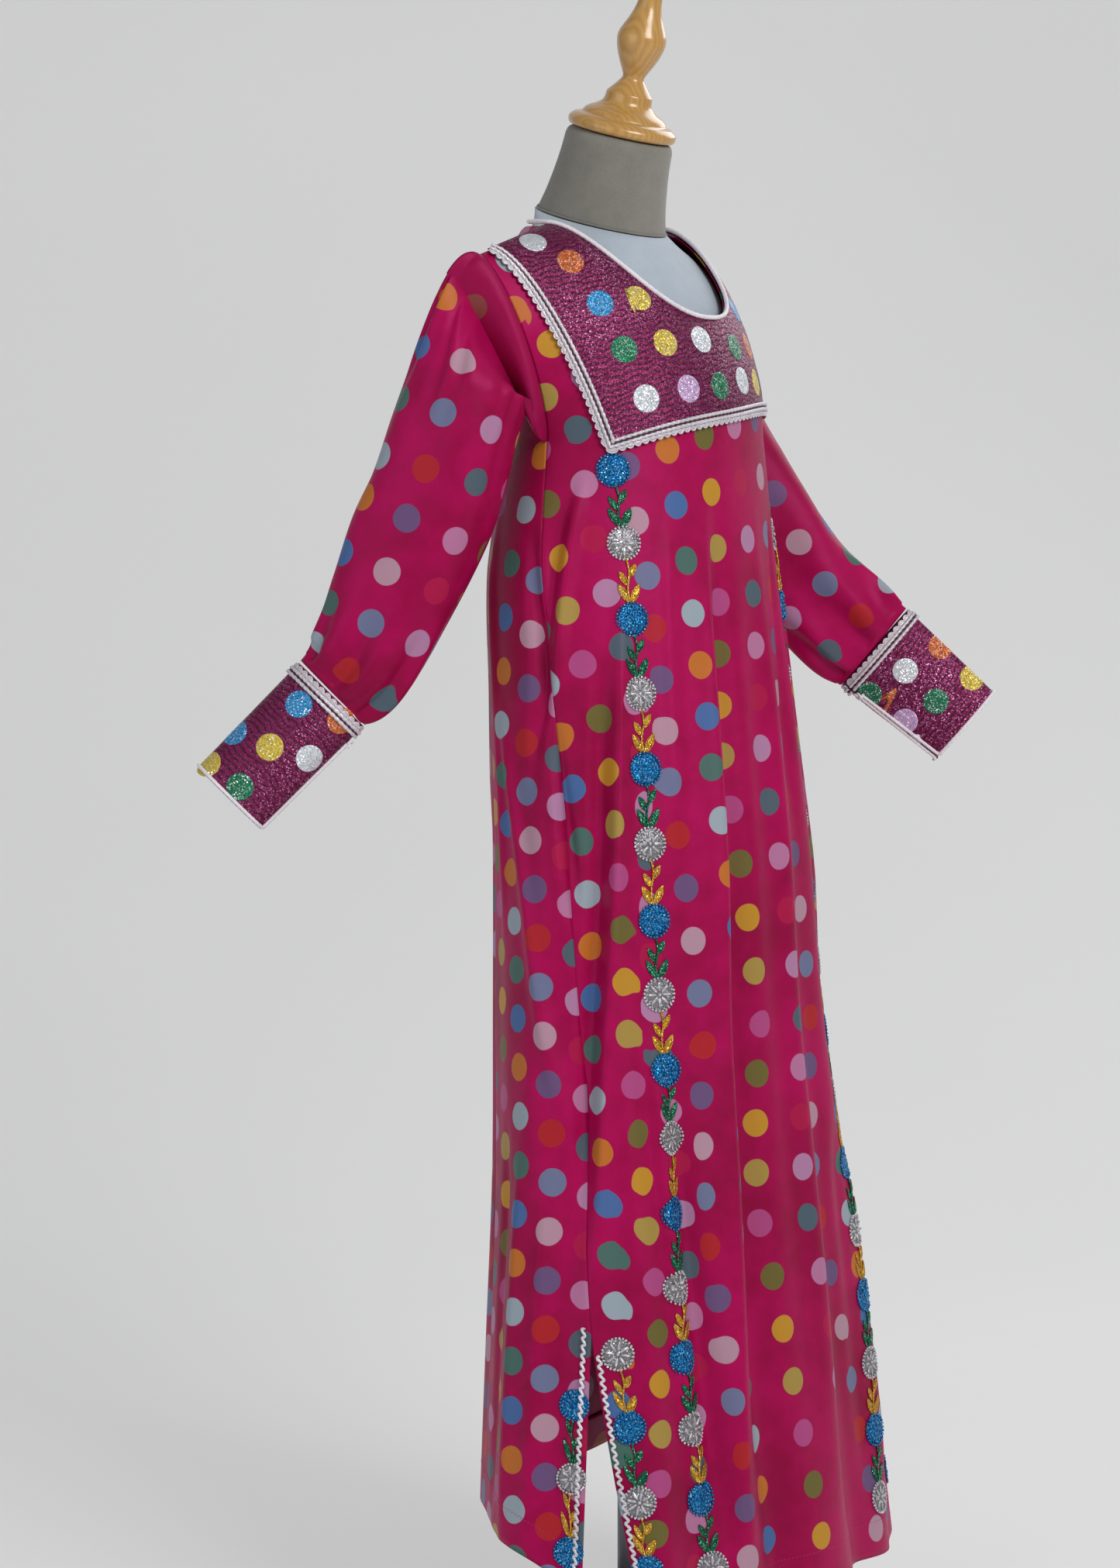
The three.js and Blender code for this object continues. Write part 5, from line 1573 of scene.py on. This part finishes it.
@dataclass
class Vine:
    """Sequin discs in turn blue and silver, joined by stems with four leaves each."""

    shop: Workshop
    name: str
    place: Place
    middles: Sequence[tuple[float, float]]
    first_colour: str = "blue"
    radius: float = 12.3
    seed: int = 3

    def build(self) -> None:
        """Makes the discs, their beads, and the sprigs between them."""
        spots = np.array(self.middles)
        table = Table([(k, *spot) for k, spot in enumerate(spots)])
        steps = np.linspace(0, len(spots) - 1, 40 * len(spots))
        self.u, self.v = table.smooth(steps, 1), table.smooth(steps, 2)
        self.walked = lengths_along(self.place(self.u, self.v, np.zeros_like(self.u)))
        disc_at = np.interp(np.arange(len(spots)), steps, self.walked)
        blue_first = self.first_colour == "blue"
        for colour in ("blue", "silver"):
            start = 0 if (colour == "blue") == blue_first else 1
            chosen = spots[start::2]
            if len(chosen):
                self._discs(colour, chosen)
            leaf_colour = "green" if colour == "blue" else "gold"
            self._sprigs(leaf_colour, disc_at[start:-1:2], disc_at[start + 1::2])

    def _discs(self, colour: str, spots: Array) -> None:
        """Domed discs with a beaded rim; blue ones carry overlapping sequins, silver ones eight spokes."""
        tangent = Tangent(self.place, spots[:, 0], spots[:, 1])
        patches = round_patches(self.place, spots[:, 0], spots[:, 1], self.radius - 0.8, 0.35, 0.8)
        self._add(f"{colour}_discs", f"{colour}_sequins", patches)
        turn = full_turn(27)
        rim = tangent.at(self.radius * np.cos(turn), self.radius * np.sin(turn), 0.75)
        bead_colour = "blue_sequins" if colour == "blue" else "silver_beads"
        beads = [self._copies(bead(6, 4), rim, tangent, 1.25)]
        self._add(f"{colour}_disc_beads", bead_colour, beads)
        if colour == "blue":
            self._sequins(tangent)
        else:
            self._spokes(tangent)

    def _copies(self, template: Mesh, points: Array, tangent: Tangent, size: float) -> Mesh:
        """Small balls at rows of points, turned as each row's middle is."""
        axes = tangent.axes(points.shape[1])
        return copies(template, points.reshape(-1, 3), *axes, (size, size, size * 0.8))

    def _sequins(self, tangent: Tangent) -> None:
        """Overlapping round sequins in rings of 1, 6, 12 and 18, each tilted a little its own way."""
        rng = np.random.default_rng(self.seed)
        counts = (1, 6, 12, 18)
        ring = np.repeat([0, 1, 2, 3], counts)
        step = np.concatenate([np.arange(n) / n for n in counts]) * 2 * math.pi
        reach = ring * 3.25
        height = 1.25 - 0.8 * (reach / self.radius) ** 2
        points = tangent.at(reach * np.cos(step), reach * np.sin(step), height)
        x, y, z = tangent.axes(points.shape[1])
        tilt = rng.normal(0, 0.22, (2, len(x), 1))
        x1, y1 = unit(x + z * tilt[0]), unit(y + z * tilt[1])
        made = copies(bead(8, 3), points.reshape(-1, 3), x1, y1, unit(np.cross(x1, y1)), (1.95, 1.95, 0.34))
        self._add("blue_disc_sequins", "blue_sequins", [made])

    def _spokes(self, tangent: Tangent) -> None:
        """Eight long beads from the middle to the rim, an inner ring of beads and one in the middle."""
        turn = full_turn(8)
        points = tangent.at(6.1 * np.cos(turn), 6.1 * np.sin(turn), 1.15)
        x, y, z = tangent.axes(len(turn))
        angle = np.tile(turn, len(tangent.u0))[:, None]
        radial = x * np.cos(angle) + y * np.sin(angle)
        spokes = copies(bead(8, 6), points.reshape(-1, 3), radial, np.cross(z, radial), z, (4.0, 1.15, 0.8))
        ring = full_turn(20)
        inner = tangent.at(10.9 * np.cos(ring), 10.9 * np.sin(ring), 0.95)
        middle = tangent.at(np.zeros(1), np.zeros(1), 1.5)
        self._add("silver_disc_spokes", "silver_beads", [
            spokes, self._copies(bead(6, 4), inner, tangent, 0.85),
            self._copies(bead(8, 5), middle, tangent, 1.5)])

    def _line(self, up: Array, aside: Array, lift: Array | float) -> Array:
        """Points beside the vine's line: a distance along it and millimetres to the side."""
        up, aside = np.broadcast_arrays(np.asarray(up, float), np.asarray(aside, float))
        u = np.interp(up, self.walked, self.u)
        v = np.interp(up, self.walked, self.v)
        zero = np.zeros_like(u)
        slope = (self.place(u + 0.002, v, zero) - self.place(u - 0.002, v, zero)) / 0.004
        return self.place(u + aside / np.linalg.norm(slope, axis=-1), v, lift + zero)

    def _sprigs(self, colour: str, tops: Array, bottoms: Array) -> None:
        """Stems between neighbouring discs, each with two small leaves and a pair of larger ones."""
        parts = []
        for top, bottom in zip(tops, bottoms):
            start, finish = top + self.radius, bottom - self.radius
            gap = finish - start
            t = np.linspace(-0.04, 1.02, 60)
            stem, above = (self._line(start + gap * t, 1.3 * np.sin(2 * math.pi * t), lift)
                           for lift in (0.8, 2.8))
            parts.append(tube(stem, above - stem, 0.8, 8, twist=3.4, ply=0.16))
            leaves = (LeafPlan(finish, -0.9, 119, 15.5, 5.4), LeafPlan(finish, 0.9, 60, 15.5, 5.4),
                      LeafPlan(start + 0.6 * gap, -1.0, 118, 11.5, 4.4),
                      LeafPlan(start + 0.42 * gap, 1.0, 58, 11.5, 4.4))
            for plan in leaves:
                parts.extend(self._leaf(plan))
        if parts:
            self._add(f"{colour}_sprigs", f"{colour}_sequins", parts)

    def _leaf(self, plan: LeafPlan) -> list[Mesh]:
        """A lens-shaped leaf with a groove down its middle and a thread round its edge."""
        t = np.linspace(0, 1, 12)
        half = plan.width / 2 * (np.sin(math.pi * t) ** 0.8 * (1.06 - 0.2 * t) + 0.04)
        across = np.array([-1, -0.6, -0.2, 0.2, 0.6, 1, 0.6, 0.2, -0.2, -0.6])
        lift = np.array([0.2, 0.95, 0.8, 0.8, 0.95, 0.2, -0.2, -0.2, -0.2, -0.2])
        body = self._on_leaf(plan, t[:, None], half[:, None] * across[None, :], lift[None, :]).reshape(-1, 3)
        edge_t, edge_side = np.concatenate([t, t[::-1]]), np.concatenate([half, -half[::-1]])
        rim, above = (self._on_leaf(plan, edge_t, edge_side, height) for height in (0.55, 2.5))
        skin = outward(body, rows_of_faces(len(t), len(across), True))
        return [(body, skin), tube(rim, above - rim, 0.48, 6)]

    def _on_leaf(self, plan: LeafPlan, t: Array, side: Array, lift: Array | float) -> Array:
        """Points of a leaf: a share of its length from the foot, millimetres to its side, and a height."""
        angle = math.radians(plan.angle)
        x = plan.aside + plan.length * t * math.cos(angle) - side * math.sin(angle)
        y = plan.length * t * math.sin(angle) + side * math.cos(angle)
        return self._line(plan.up - y, x, lift + 0 * x)

    def _add(self, label: str, finish: str, parts: Sequence[Mesh]) -> None:
        """Joins the parts into one piece of the vine."""
        quads = [p for p in parts if p[1].shape[1] == 4]
        tris = [p for p in parts if p[1].shape[1] == 3]
        for suffix, some in (("", quads), ("_small" if quads else "", tris)):
            if some:
                self.shop.piece(f"{self.name}_{label}{suffix}", merge_meshes(some), "satin", finish)


def outward(points: Array, faces: Array) -> Array:
    """The same faces, turned round if they enclose a negative volume."""
    a, b, c = (points[faces[:, k]] for k in (0, 1, 2))
    d = points[faces[:, -1]]
    volume = np.sum(np.cross(a, b) * c) + np.sum(np.cross(a, c) * d)
    return faces[:, ::-1] if volume < 0 else faces


@dataclass
class SlitCord:
    """Wavy white cord along one edge of a side slit."""

    shop: Workshop
    shape: ThobeShape
    panel: Panel
    side: Side

    def build(self) -> None:
        """A round cord whose line swings to both sides as a sine."""
        v = np.linspace(0.002, 0.232, 900)
        front = self.panel.value
        s = np.full_like(v, self.side.value * 0.978)
        walked = lengths_along(self.shape.body(s, v, front))
        slope = np.linalg.norm(self.shape.body(s + 0.002, v, front) - self.shape.body(s, v, front), axis=-1)
        wave = 1.35 * np.sin(2 * math.pi * walked / WAVE) / (slope / 0.002)
        normal = self.shape.body_normal(s, v, front)
        path = self.shape.body(s + wave, v, front) + normal * 1.35
        cord = tube(path, normal, 1.15, 8, twist=4.0, ply=0.1)
        label = f"{self.panel.name.lower()}_{self.side.name.lower()}"
        piece = self.shop.piece(f"slit_cord_{label}", cord, "white_trim", "silver_cord")
        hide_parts(f"slit_trim_{label}")


@dataclass
class Sleeve:
    """A printed sleeve, its lamé cuff with lining, braid, piping, knot and glitter dots."""

    shop: Workshop
    shape: SleeveShape
    flat: tuple[float, float]
    cut: float
    print_start: tuple[float, float]
    dots: tuple[tuple[float, float, str], ...]

    def build(self) -> None:
        """Makes the sleeve and everything at its cuff."""
        label = self.shape.side.name.lower()
        theta = 180 + np.linspace(0, 360, 140, endpoint=False)
        at = np.concatenate([np.linspace(0, 0.2, 40)[:-1], np.linspace(0.2, 1, 110)])
        grid = self.shape.surface(theta[None, :], at[:, None])
        cells = np.stack(self._around_and_along(grid), axis=-1) + self.print_start
        piece = grid_object(f"{label}_sleeve_cloth", grid, cells, loop=True, flip=turns_inward(grid))
        keep_dots_round(piece, grid, cells[:, :-1])
        self.shop.dress(piece, "satin", "satin_print", "satin_print_inside")
        self.shop.thicken(piece, CLOTH_WALL, True)
        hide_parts(f"sleeve_{label}")
        self._cuff(label)

    def _around_and_along(self, grid: Array) -> tuple[Array, Array]:
        """Where each point lies on the sleeve's print, in cells: down is the way along the middle line
        to the place nearest to the point, around is what remains of each step round a row."""
        share = np.linspace(self.shape.first_at, 1.06, 120)
        line, _, _ = self.shape.frame(share)
        up = unit(line[:1] - line[4:5])
        line = np.concatenate([line[:1] + up * np.linspace(160, 2, 60)[:, None], line])
        walked = lengths_along(line) - 160
        flat = grid.reshape(-1, 3)
        near = np.argmin(np.sum(flat ** 2, 1)[:, None] - 2 * flat @ line.T + np.sum(line ** 2, 1)[None], 1)
        ahead = unit(np.gradient(line, axis=0))[near]
        v = (walked[near] + np.sum((flat - line[near]) * ahead, axis=-1)).reshape(grid.shape[:2])
        v = np.concatenate([v, v[:, :1]], axis=1)
        loop = np.concatenate([grid, grid[:, :1]], axis=1)
        step = np.sum(np.diff(loop, axis=1) ** 2, axis=-1) - np.diff(v, axis=1) ** 2
        u = np.concatenate([np.zeros((len(v), 1)), np.cumsum(np.sqrt(np.maximum(step, 0)), axis=1)], axis=1)
        middle = u.shape[1] // 2
        return (u - u[:, middle:middle + 1]) / PITCH, v / PITCH

    def _cuff(self, label: str) -> None:
        """The open cuff, lined with plain satin."""
        share, along = np.linspace(0, 1, 130), np.linspace(0, 1, 40)
        grid = self.shape.cuff(share[None, :], along[:, None])
        walked = lengths_along(self.shape.cuff(share, np.full_like(share, 0.5)))
        height = lengths_along(self.shape.cuff(np.full_like(along, 0.3), along))
        uv = np.stack(np.broadcast_arrays(walked[None, :], height[:, None]), axis=-1) / PITCH
        self.inward = turns_inward(grid)
        piece = grid_object(f"{label}_cuff_cloth", grid, uv, flip=self.inward)
        self.shop.dress(piece, "yoke_lame", "yoke_lame", "satin_inside")
        self.shop.thicken(piece, 1.0, True)
        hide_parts(f"cuff_{label}")
        place = self.shape.cuff
        glitter_dots(self.shop, f"{label}_cuff_dots", place, self.dots, 10.4)
        t = np.linspace(0.004, 0.996, 300)
        path = place(t, np.full_like(t, 0.065), 0.3)
        normal = unit(place(t, np.full_like(t, 0.065), 3.0) - path)
        ahead = np.gradient(path, axis=0)
        to_sleeve = place(t, np.zeros_like(t), 0.0) - place(t, np.full_like(t, 0.1), 0.0)
        out = float(np.sign(np.sum(np.cross(ahead, normal) * to_sleeve)))
        Braid(self.shop, f"{label}_cuff_trim", path, normal, out, f"cuff_braid_{label}").build()
        self._piping(label)

    def _piping(self, label: str) -> None:
        """White piping up both slit edges and round the wrist, and a knot at the top of the slit."""
        edge = np.linspace(0.17, 0.975, 60)
        t = np.linspace(0.008, 0.992, 220)
        share = np.concatenate([np.full(60, 0.004), t, np.full(60, 0.996)])
        along = np.concatenate([edge, np.full(220, 0.985), edge[::-1]])
        path = self.shape.cuff(share, along, 0.7)
        for _ in range(3):
            path[1:-1] = (path[:-2] + 2 * path[1:-1] + path[2:]) / 4
        normal = unit(self.shape.cuff(share, along, 4.0) - path)
        cord = tube(resample(path, 400), resample(normal, 400), 1.35, 10, twist=4.5, ply=0.08)
        piece = self.shop.piece(f"{label}_cuff_edge", cord, "white_trim", "white_piping")
        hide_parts(f"cuff_piping_{label}")
        middle = (self.shape.cuff(0.0, 0.16, 1.6) + self.shape.cuff(1.0, 0.16, 1.6)) / 2
        up = unit(self.shape.cuff(0.0, 0.16, 4.0) - self.shape.cuff(0.0, 0.16, 0.0))
        down = unit(self.shape.cuff(0.0, 0.9) - self.shape.cuff(0.0, 0.1))
        aside = np.cross(up, down)
        turn = full_turn(120)[:, None]
        swing = 2.1 + 0.9 * np.cos(3 * turn)
        loop = (middle + aside * swing * np.cos(2 * turn) + down * swing * np.sin(2 * turn) * 1.2
                + up * (0.9 * np.sin(3 * turn) + 0.6))
        knot = tube(loop, np.broadcast_to(up, loop.shape) + 0.01, 0.85, 8, closed=True)
        self.shop.piece(f"{label}_cuff_knot", knot, "white_trim", "white_piping")


def closed_rings(rings: Array) -> Mesh:
    """A closed skin over rings of points, with a fan of faces at each end."""
    rows, cols = rings.shape[:2]
    points = np.concatenate([rings.reshape(-1, 3), rings[:1].mean(axis=1), rings[-1:].mean(axis=1)])
    low = fan(rows * cols, 0, cols)[:, [0, 2, 1]]
    high = fan(rows * cols + 1, (rows - 1) * cols, cols)
    tris = np.concatenate([halves(rows_of_faces(rows, cols, True)), low, high])
    return points, outward(points, tris)


def spun(profile: Array, sides: int) -> Array:
    """Rings of points: a profile of radius and height turned round the upright axis."""
    turn = full_turn(sides)[None, :]
    return stack(profile[:, :1] * np.cos(turn), profile[:, :1] * np.sin(turn), profile[:, 1:] + 0 * turn)


def rounded(profile: Sequence[tuple[float, float]], passes: int) -> Array:
    """A profile with softened corners: each pass cuts every corner a quarter of the way along."""
    line = np.array(profile, float)
    for _ in range(passes):
        cut = np.stack([line[:-1] * 0.75 + line[1:] * 0.25, line[:-1] * 0.25 + line[1:] * 0.75], axis=1)
        line = np.concatenate([line[:1], cut.reshape(-1, 2), line[-1:]])
    return line


@dataclass
class DressForm:
    """Limbless child-size form: jersey torso, leaning neck and turned wooden cap."""

    shop: Workshop
    lean: float = 15.0
    head_y: float = 32.0
    head_z: float = 1132.3
    # Height, half-width, half-depth, middle, forward tip and squareness of each section.
    torso: Table = field(default_factory=lambda: Table([
        (585, 84, 62, 2, 0, 2), (592, 94, 70, 2, 0, 2), (680, 104, 78, 2, 0, 2), (790, 92, 70, 2, 0, 2),
        (900, 99, 74, 4, 0, 2), (970, 102, 77, 4, 0, 2), (1030, 104, 74, 8, 0.02, 2),
        (1068, 107, 68, 12, 0.1, 1.85), (1092, 110, 60, 16, 0.2, 1.7), (1108, 100.2, 54, 21, 0.26, 1.65),
        (1122, 71, 51, 27, 0.268, 1.85), (1132, 52, 51, 32, 0.268, 2)]))
    neck: tuple[tuple[float, float], ...] = (
        (40, 0), (51, 0), (49.4, 6), (47.5, 14), (46, 22), (44.5, 32), (43.2, 42), (42.3, 52), (41.5, 68),
        (30, 68))
    cap: tuple[tuple[float, float], ...] = (
        (1, 0), (39.5, 0), (42.3, 3), (42.3, 7.5), (38, 11), (37, 11.2), (33, 12.5), (32.6, 13.6), (30, 17),
        (22, 21), (18.4, 24.5), (18, 31), (17.2, 32), (12.5, 37.5), (9.8, 41), (8, 44), (9.5, 48), (14, 56),
        (18, 66), (19.4, 75), (16.5, 82), (12, 91), (8.6, 103), (9.5, 122), (7.5, 133), (1, 137))

    def build(self) -> None:
        """Makes the torso, the neck with its seams, and the cap."""
        z = np.concatenate([np.linspace(585, 592, 6)[:-1], np.linspace(592, 1132, 130)])[:, None]
        turn = full_turn(112)[None, :]
        bend = 2 / self.torso.smooth(z, 5)
        x = self.torso.smooth(z, 1) * np.sign(np.cos(turn)) * np.abs(np.cos(turn)) ** bend
        depth = self.torso.smooth(z, 2) * np.sign(np.sin(turn)) * np.abs(np.sin(turn)) ** bend
        rings = stack(x, self.torso.smooth(z, 3) + depth, z + self.torso.smooth(z, 4) * depth)
        torso = self.shop.piece("torso_jersey", closed_rings(rings), "form_jersey", "form_jersey")
        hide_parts("form_torso")
        neck = self._turned("neck_cover", self.neck, 0.0, "neck_jersey")
        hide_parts("form_neck")
        cap = self._turned("turned_cap", self.cap, 68.3, "cap_wood")
        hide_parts("neck_cap")
        self._seams()

    def _tip(self, points: Array) -> Array:
        """Points of the head brought from its own upright frame to the leaning one."""
        c, s = math.cos(math.radians(self.lean)), math.sin(math.radians(self.lean))
        x, y, z = points[..., 0], points[..., 1], points[..., 2]
        return stack(x, y * c - z * s + self.head_y, y * s + z * c + self.head_z)

    def _turned(self, name: str, outline: Sequence[tuple[float, float]], base: float,
                slot: str) -> bpy.types.Object:
        """A turned piece of the head, raised by its base; its material bears the slot's name."""
        rings = self._tip(spun(rounded(outline, 2) + [0, base], 96))
        return self.shop.piece(name, closed_rings(rings), slot, slot)

    def _seams(self) -> None:
        """Raised seams of the jersey: round the foot of the neck and up its back."""
        turn = full_turn(160)
        ring = self._tip(stack(50.9 * np.cos(turn), 50.9 * np.sin(turn), 1.3 + 0 * turn))
        up = ring - ring.mean(axis=0)
        first = tube(ring, up, 0.75, 8, closed=True)
        r = np.array(self.neck)[1:-1]
        line = self._tip(stack(0 * r[:, 0], r[:, 0] + 0.1, r[:, 1]))
        line = resample(line, 60)
        second = tube(line, np.broadcast_to([0.0, 1.0, 0.0], line.shape), 0.6, 8)
        self.shop.piece("neck_seams", merge_meshes([first, second]), "neck_jersey", "neck_jersey")


@dataclass
class Stand:
    """Round steel base and pole under the form."""

    shop: Workshop

    def build(self) -> None:
        """Spins the profiles of the base and the pole."""
        base = ((2, 0), (153.5, 0), (155, 1.5), (155, 8), (154, 11), (151, 12), (60, 14.6), (30, 16), (2, 16))
        pole = ((1, 16.3), (12.5, 16.3), (13, 17), (13, 584), (12.5, 584.7), (1, 584.7))
        for name, node, outline in (("round_base", "stand_base", base), ("pole", "stand_pole", pole)):
            rings = spun(rounded(outline, 1), 128)
            piece = self.shop.piece(name, closed_rings(rings), "stand_steel", "stand_steel")
            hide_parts(node)


@dataclass
class Studio:
    """Pale seamless sweep, soft lights and the camera at the photograph's angle."""

    azimuth: float = -57.0
    distance: float = 3.12
    height: float = 1.005
    pitch: float = 5.618
    yaw: float = 1.074
    lens: float = 92.535

    def build(self) -> None:
        """Sets up the sweep, the world, the lights and the camera."""
        a = math.radians(self.azimuth)
        self.back = np.array([math.sin(a), -math.cos(a), 0.0])
        self.right = np.array([math.cos(a), math.sin(a), 0.0])
        self._sweep()
        self._world()
        self._light("key", 2.1, 1.5, 2.3, 1.3, 52.0, (1.0, 0.985, 0.97))
        self._light("fill", 2.2, -2.0, 1.5, 2.2, 17.0, (0.95, 0.97, 1.0))
        self._light("rim", -1.6, 1.2, 2.2, 1.4, 14.0, (1.0, 1.0, 1.0))
        self._camera()
        bpy.context.scene.view_settings.view_transform = "Standard"

    def _sweep(self) -> None:
        """The floor runs back from the camera and curves up into a wall."""
        turn = np.linspace(0, math.pi / 2, 24)
        along = np.concatenate([[-5.0, 0.0, 1.6], 1.6 + 1.4 * np.sin(turn[1:]), [3.0]])
        up = np.concatenate([[0.0, 0.0, 0.0], 1.4 * (1 - np.cos(turn[1:])), [5.0]])
        across = np.linspace(-5, 5, 12)
        points = (-self.back * along[:, None, None] + self.right * across[None, :, None]
                  + np.array([0, 0, 1.0]) * up[:, None, None] - np.array([0, 0, 0.0005]))
        faces = rows_of_faces(len(along), 12, False)
        sweep = mesh_object("studio_sweep", points.reshape(-1, 3) / MM, faces[:, ::-1])
        material, n, shader = new_material("studio_paper")
        cloud = n.noise(n.object_place(), 1.3, 2.0)
        colour = n.mix(cloud, linear("c9c9c9"), linear("cfcfcf"))
        n.link(colour, shader, "Base Color")
        shader.inputs["Roughness"].default_value = 0.95
        shader.inputs["Emission Color"].default_value = (1, 1, 1, 1)
        shader.inputs["Emission Strength"].default_value = 0.24
        sweep.data.materials.append(material)

    def _world(self) -> None:
        """Even pale light from all sides."""
        world = bpy.data.worlds.new("studio")
        world.use_nodes = True
        background = world.node_tree.nodes["Background"]
        background.inputs[0].default_value = (0.9, 0.92, 0.95, 1)
        background.inputs[1].default_value = 0.34
        bpy.context.scene.world = world

    def _light(self, name: str, back: float, right: float, up: float, size: float, power: float,
               colour: tuple[float, float, float]) -> None:
        """A soft square light that aims at the middle of the thobe."""
        data = bpy.data.lights.new(name, "AREA")
        data.size, data.energy, data.color = size, power, colour
        lamp = bpy.data.objects.new(name, data)
        place = Vector(self.back * back + self.right * right + np.array([0, 0, up]))
        aim = Vector((0, 0, 0.65)) - place
        lamp.matrix_world = Matrix.Translation(place) @ aim.to_track_quat("-Z", "Y").to_matrix().to_4x4()
        bpy.context.scene.collection.objects.link(lamp)

    def _camera(self) -> None:
        """The camera stands back along its azimuth, tips down a little and turns a little left."""
        data = bpy.data.cameras.new("photo_camera")
        data.lens, data.sensor_width, data.sensor_fit = self.lens, 36, "AUTO"
        camera = bpy.data.objects.new("photo_camera", data)
        yaw, pitch = math.radians(self.yaw), math.radians(self.pitch)
        up = np.array([0, 0, 1.0])
        level = -self.back * math.cos(yaw) - self.right * math.sin(yaw)
        right = self.right * math.cos(yaw) - self.back * math.sin(yaw)
        ahead = level * math.cos(pitch) - up * math.sin(pitch)
        above = up * math.cos(pitch) + level * math.sin(pitch)
        place = self.back * self.distance + up * self.height
        columns = [Vector(v) for v in (right, above, -ahead, place)]
        camera.matrix_world = Matrix([[columns[c][r] for c in range(4)] for r in range(3)] + [[0, 0, 0, 1]])
        bpy.context.scene.collection.objects.link(camera)
        bpy.context.scene.camera = camera


def thobe_panels(shop: Workshop, shape: ThobeShape) -> None:
    """Front and back with their vines and slit cords."""
    BodyPanel(shop, shape, Panel.FRONT, flat=(0.74, 1.10), cut=0.40,
              drift_u=Drift(5.0, -0.45, -0.55, -0.45, 0.35, -0.6),
              drift_v=Drift(-1.15, 0.0, -0.1, -0.7, 0.3, -0.6),
              slips=FRONT_SLIPS).build()
    BodyPanel(shop, shape, Panel.BACK, flat=(0.86, 1.10), cut=0.47,
              drift_u=Drift(10.55, 1.5, 2.35), drift_v=Drift(8.85, -1.55, -1.95),
              reach=(-7.6, -3.8, 5.6, 20.2)).build()
    front = SurfaceMap(lambda s, v: shape.body(s, v, 1), (-1.0, 1.0, 701), (0.0, 1.1, 701), 1)
    back = SurfaceMap(lambda s, v: shape.body(s, v, -1), (-1.0, 1.0, 901), (0.0, 0.4, 261), -1)
    main = ((-0.6429, 0.9761), (-0.5950, 0.9149), (-0.5800, 0.8511), (-0.5809, 0.7887), (-0.586, 0.7254),
            (-0.5960, 0.6626), (-0.6020, 0.598), (-0.5990, 0.5355), (-0.5970, 0.472), (-0.5909, 0.4146),
            (-0.5830, 0.3514), (-0.5815, 0.2894), (-0.5880, 0.2311), (-0.594, 0.17), (-0.60, 0.11),
            (-0.604, 0.05))
    slit = ((-0.8868, 0.2365), (-0.8865, 0.175), (-0.9013, 0.112), (-0.928, 0.053))
    back_slit = ((-0.955, 0.160), (-0.955, 0.096), (-0.955, 0.032))
    for side in Side:
        flip = -side.value
        label = side.name.lower()
        Vine(shop, f"main_vine_{label}", front, [(s * flip, v) for s, v in main]).build()
        Vine(shop, f"slit_vine_{label}", front, [(s * flip, v) for s, v in slit], "silver", 11.8).build()
        Vine(shop, f"back_slit_vine_{label}", back, [(s * flip, v) for s, v in back_slit], "blue",
             11.0).build()
        for panel in Panel:
            SlitCord(shop, shape, panel, side).build()


def sleeves(shop: Workshop, shape: ThobeShape) -> None:
    """Both sleeves with their cuffs."""
    right = SleeveShape(
        shape, Side.RIGHT,
        sections=((0.20, -165, 41, 1005, 44, 34), (0.32, -173, 50, 970, 46, 34),
                  (0.46, -181, 61, 924, 48, 33), (0.57, -189, 73, 890, 49, 32),
                  (0.70, -198, 87, 849, 46, 31), (0.80, -205, 97, 821, 43, 29),
                  (0.90, -214, 110, 794, 40, 25), (1.00, -224, 124, 778, 34, 18)),
        cuff_end=(-276, 182, 700), cuff_outward=33, cuff_forward=17, slit_at=180,
        outward=(-0.545, 0.839, 0), phase=0.4)
    left = SleeveShape(
        shape, Side.LEFT,
        sections=((0.20, 165, 43, 1012, 34, 37), (0.32, 173, 33, 968, 39, 36), (0.46, 178, 12, 925, 43, 34),
                  (0.57, 185, -7, 893, 44, 31), (0.70, 196, -28, 856, 45, 27), (0.80, 208, -46, 832, 45, 23),
                  (0.90, 219, -64, 812, 44, 17), (1.00, 231, -80, 796, 41, 10)),
        cuff_end=(272, -143, 731), cuff_outward=36, cuff_forward=11, slit_at=205,
        outward=(0.545, -0.839, 0), phase=2.1)
    Sleeve(shop, right, (0.33, 0.37), 0.082, (0.3, 0.4), (
        (0.298, 0.203, "blue"), (0.261, 0.552, "yellow"), (0.235, 0.889, "green"), (0.143, 0.083, "orange"),
        (0.120, 0.418, "silver"), (0.434, 0.650, "blue"), (0.41, 0.93, "yellow"), (0.60, 0.30, "lilac"),
        (0.58, 0.70, "silver"), (0.78, 0.45, "yellow"), (0.76, 0.85, "blue"), (0.91, 0.3, "green"))).build()
    Sleeve(shop, left, (0.33, 0.40), 0.080, (0.1, 0.2), (
        (0.184, 0.308, "silver"), (0.172, 0.667, "green"), (0.03, 0.216, "green"), (0.035, 0.586, "lilac"),
        (0.362, 0.402, "orange"), (0.353, 0.770, "yellow"), (0.54, 0.30, "blue"), (0.53, 0.70, "silver"),
        (0.71, 0.40, "yellow"), (0.70, 0.80, "lilac"), (0.88, 0.35, "orange"),
        (0.87, 0.75, "silver"))).build()


def main() -> None:
    """Builds every sub-assembly in order and updates the view layer."""
    logging.basicConfig(level=logging.INFO, format="%(message)s")
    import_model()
    shop = Workshop()
    shape = ThobeShape()
    thobe_panels(shop, shape)
    LOG.info("panels, vines and slit cords done")
    Yoke(shop, YokeShape(shape)).build()
    sleeves(shop, shape)
    LOG.info("yoke, sleeves and cuffs done")
    DressForm(shop).build()
    Stand(shop).build()
    Studio().build()
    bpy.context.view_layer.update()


if __name__ == "__main__":
    main()
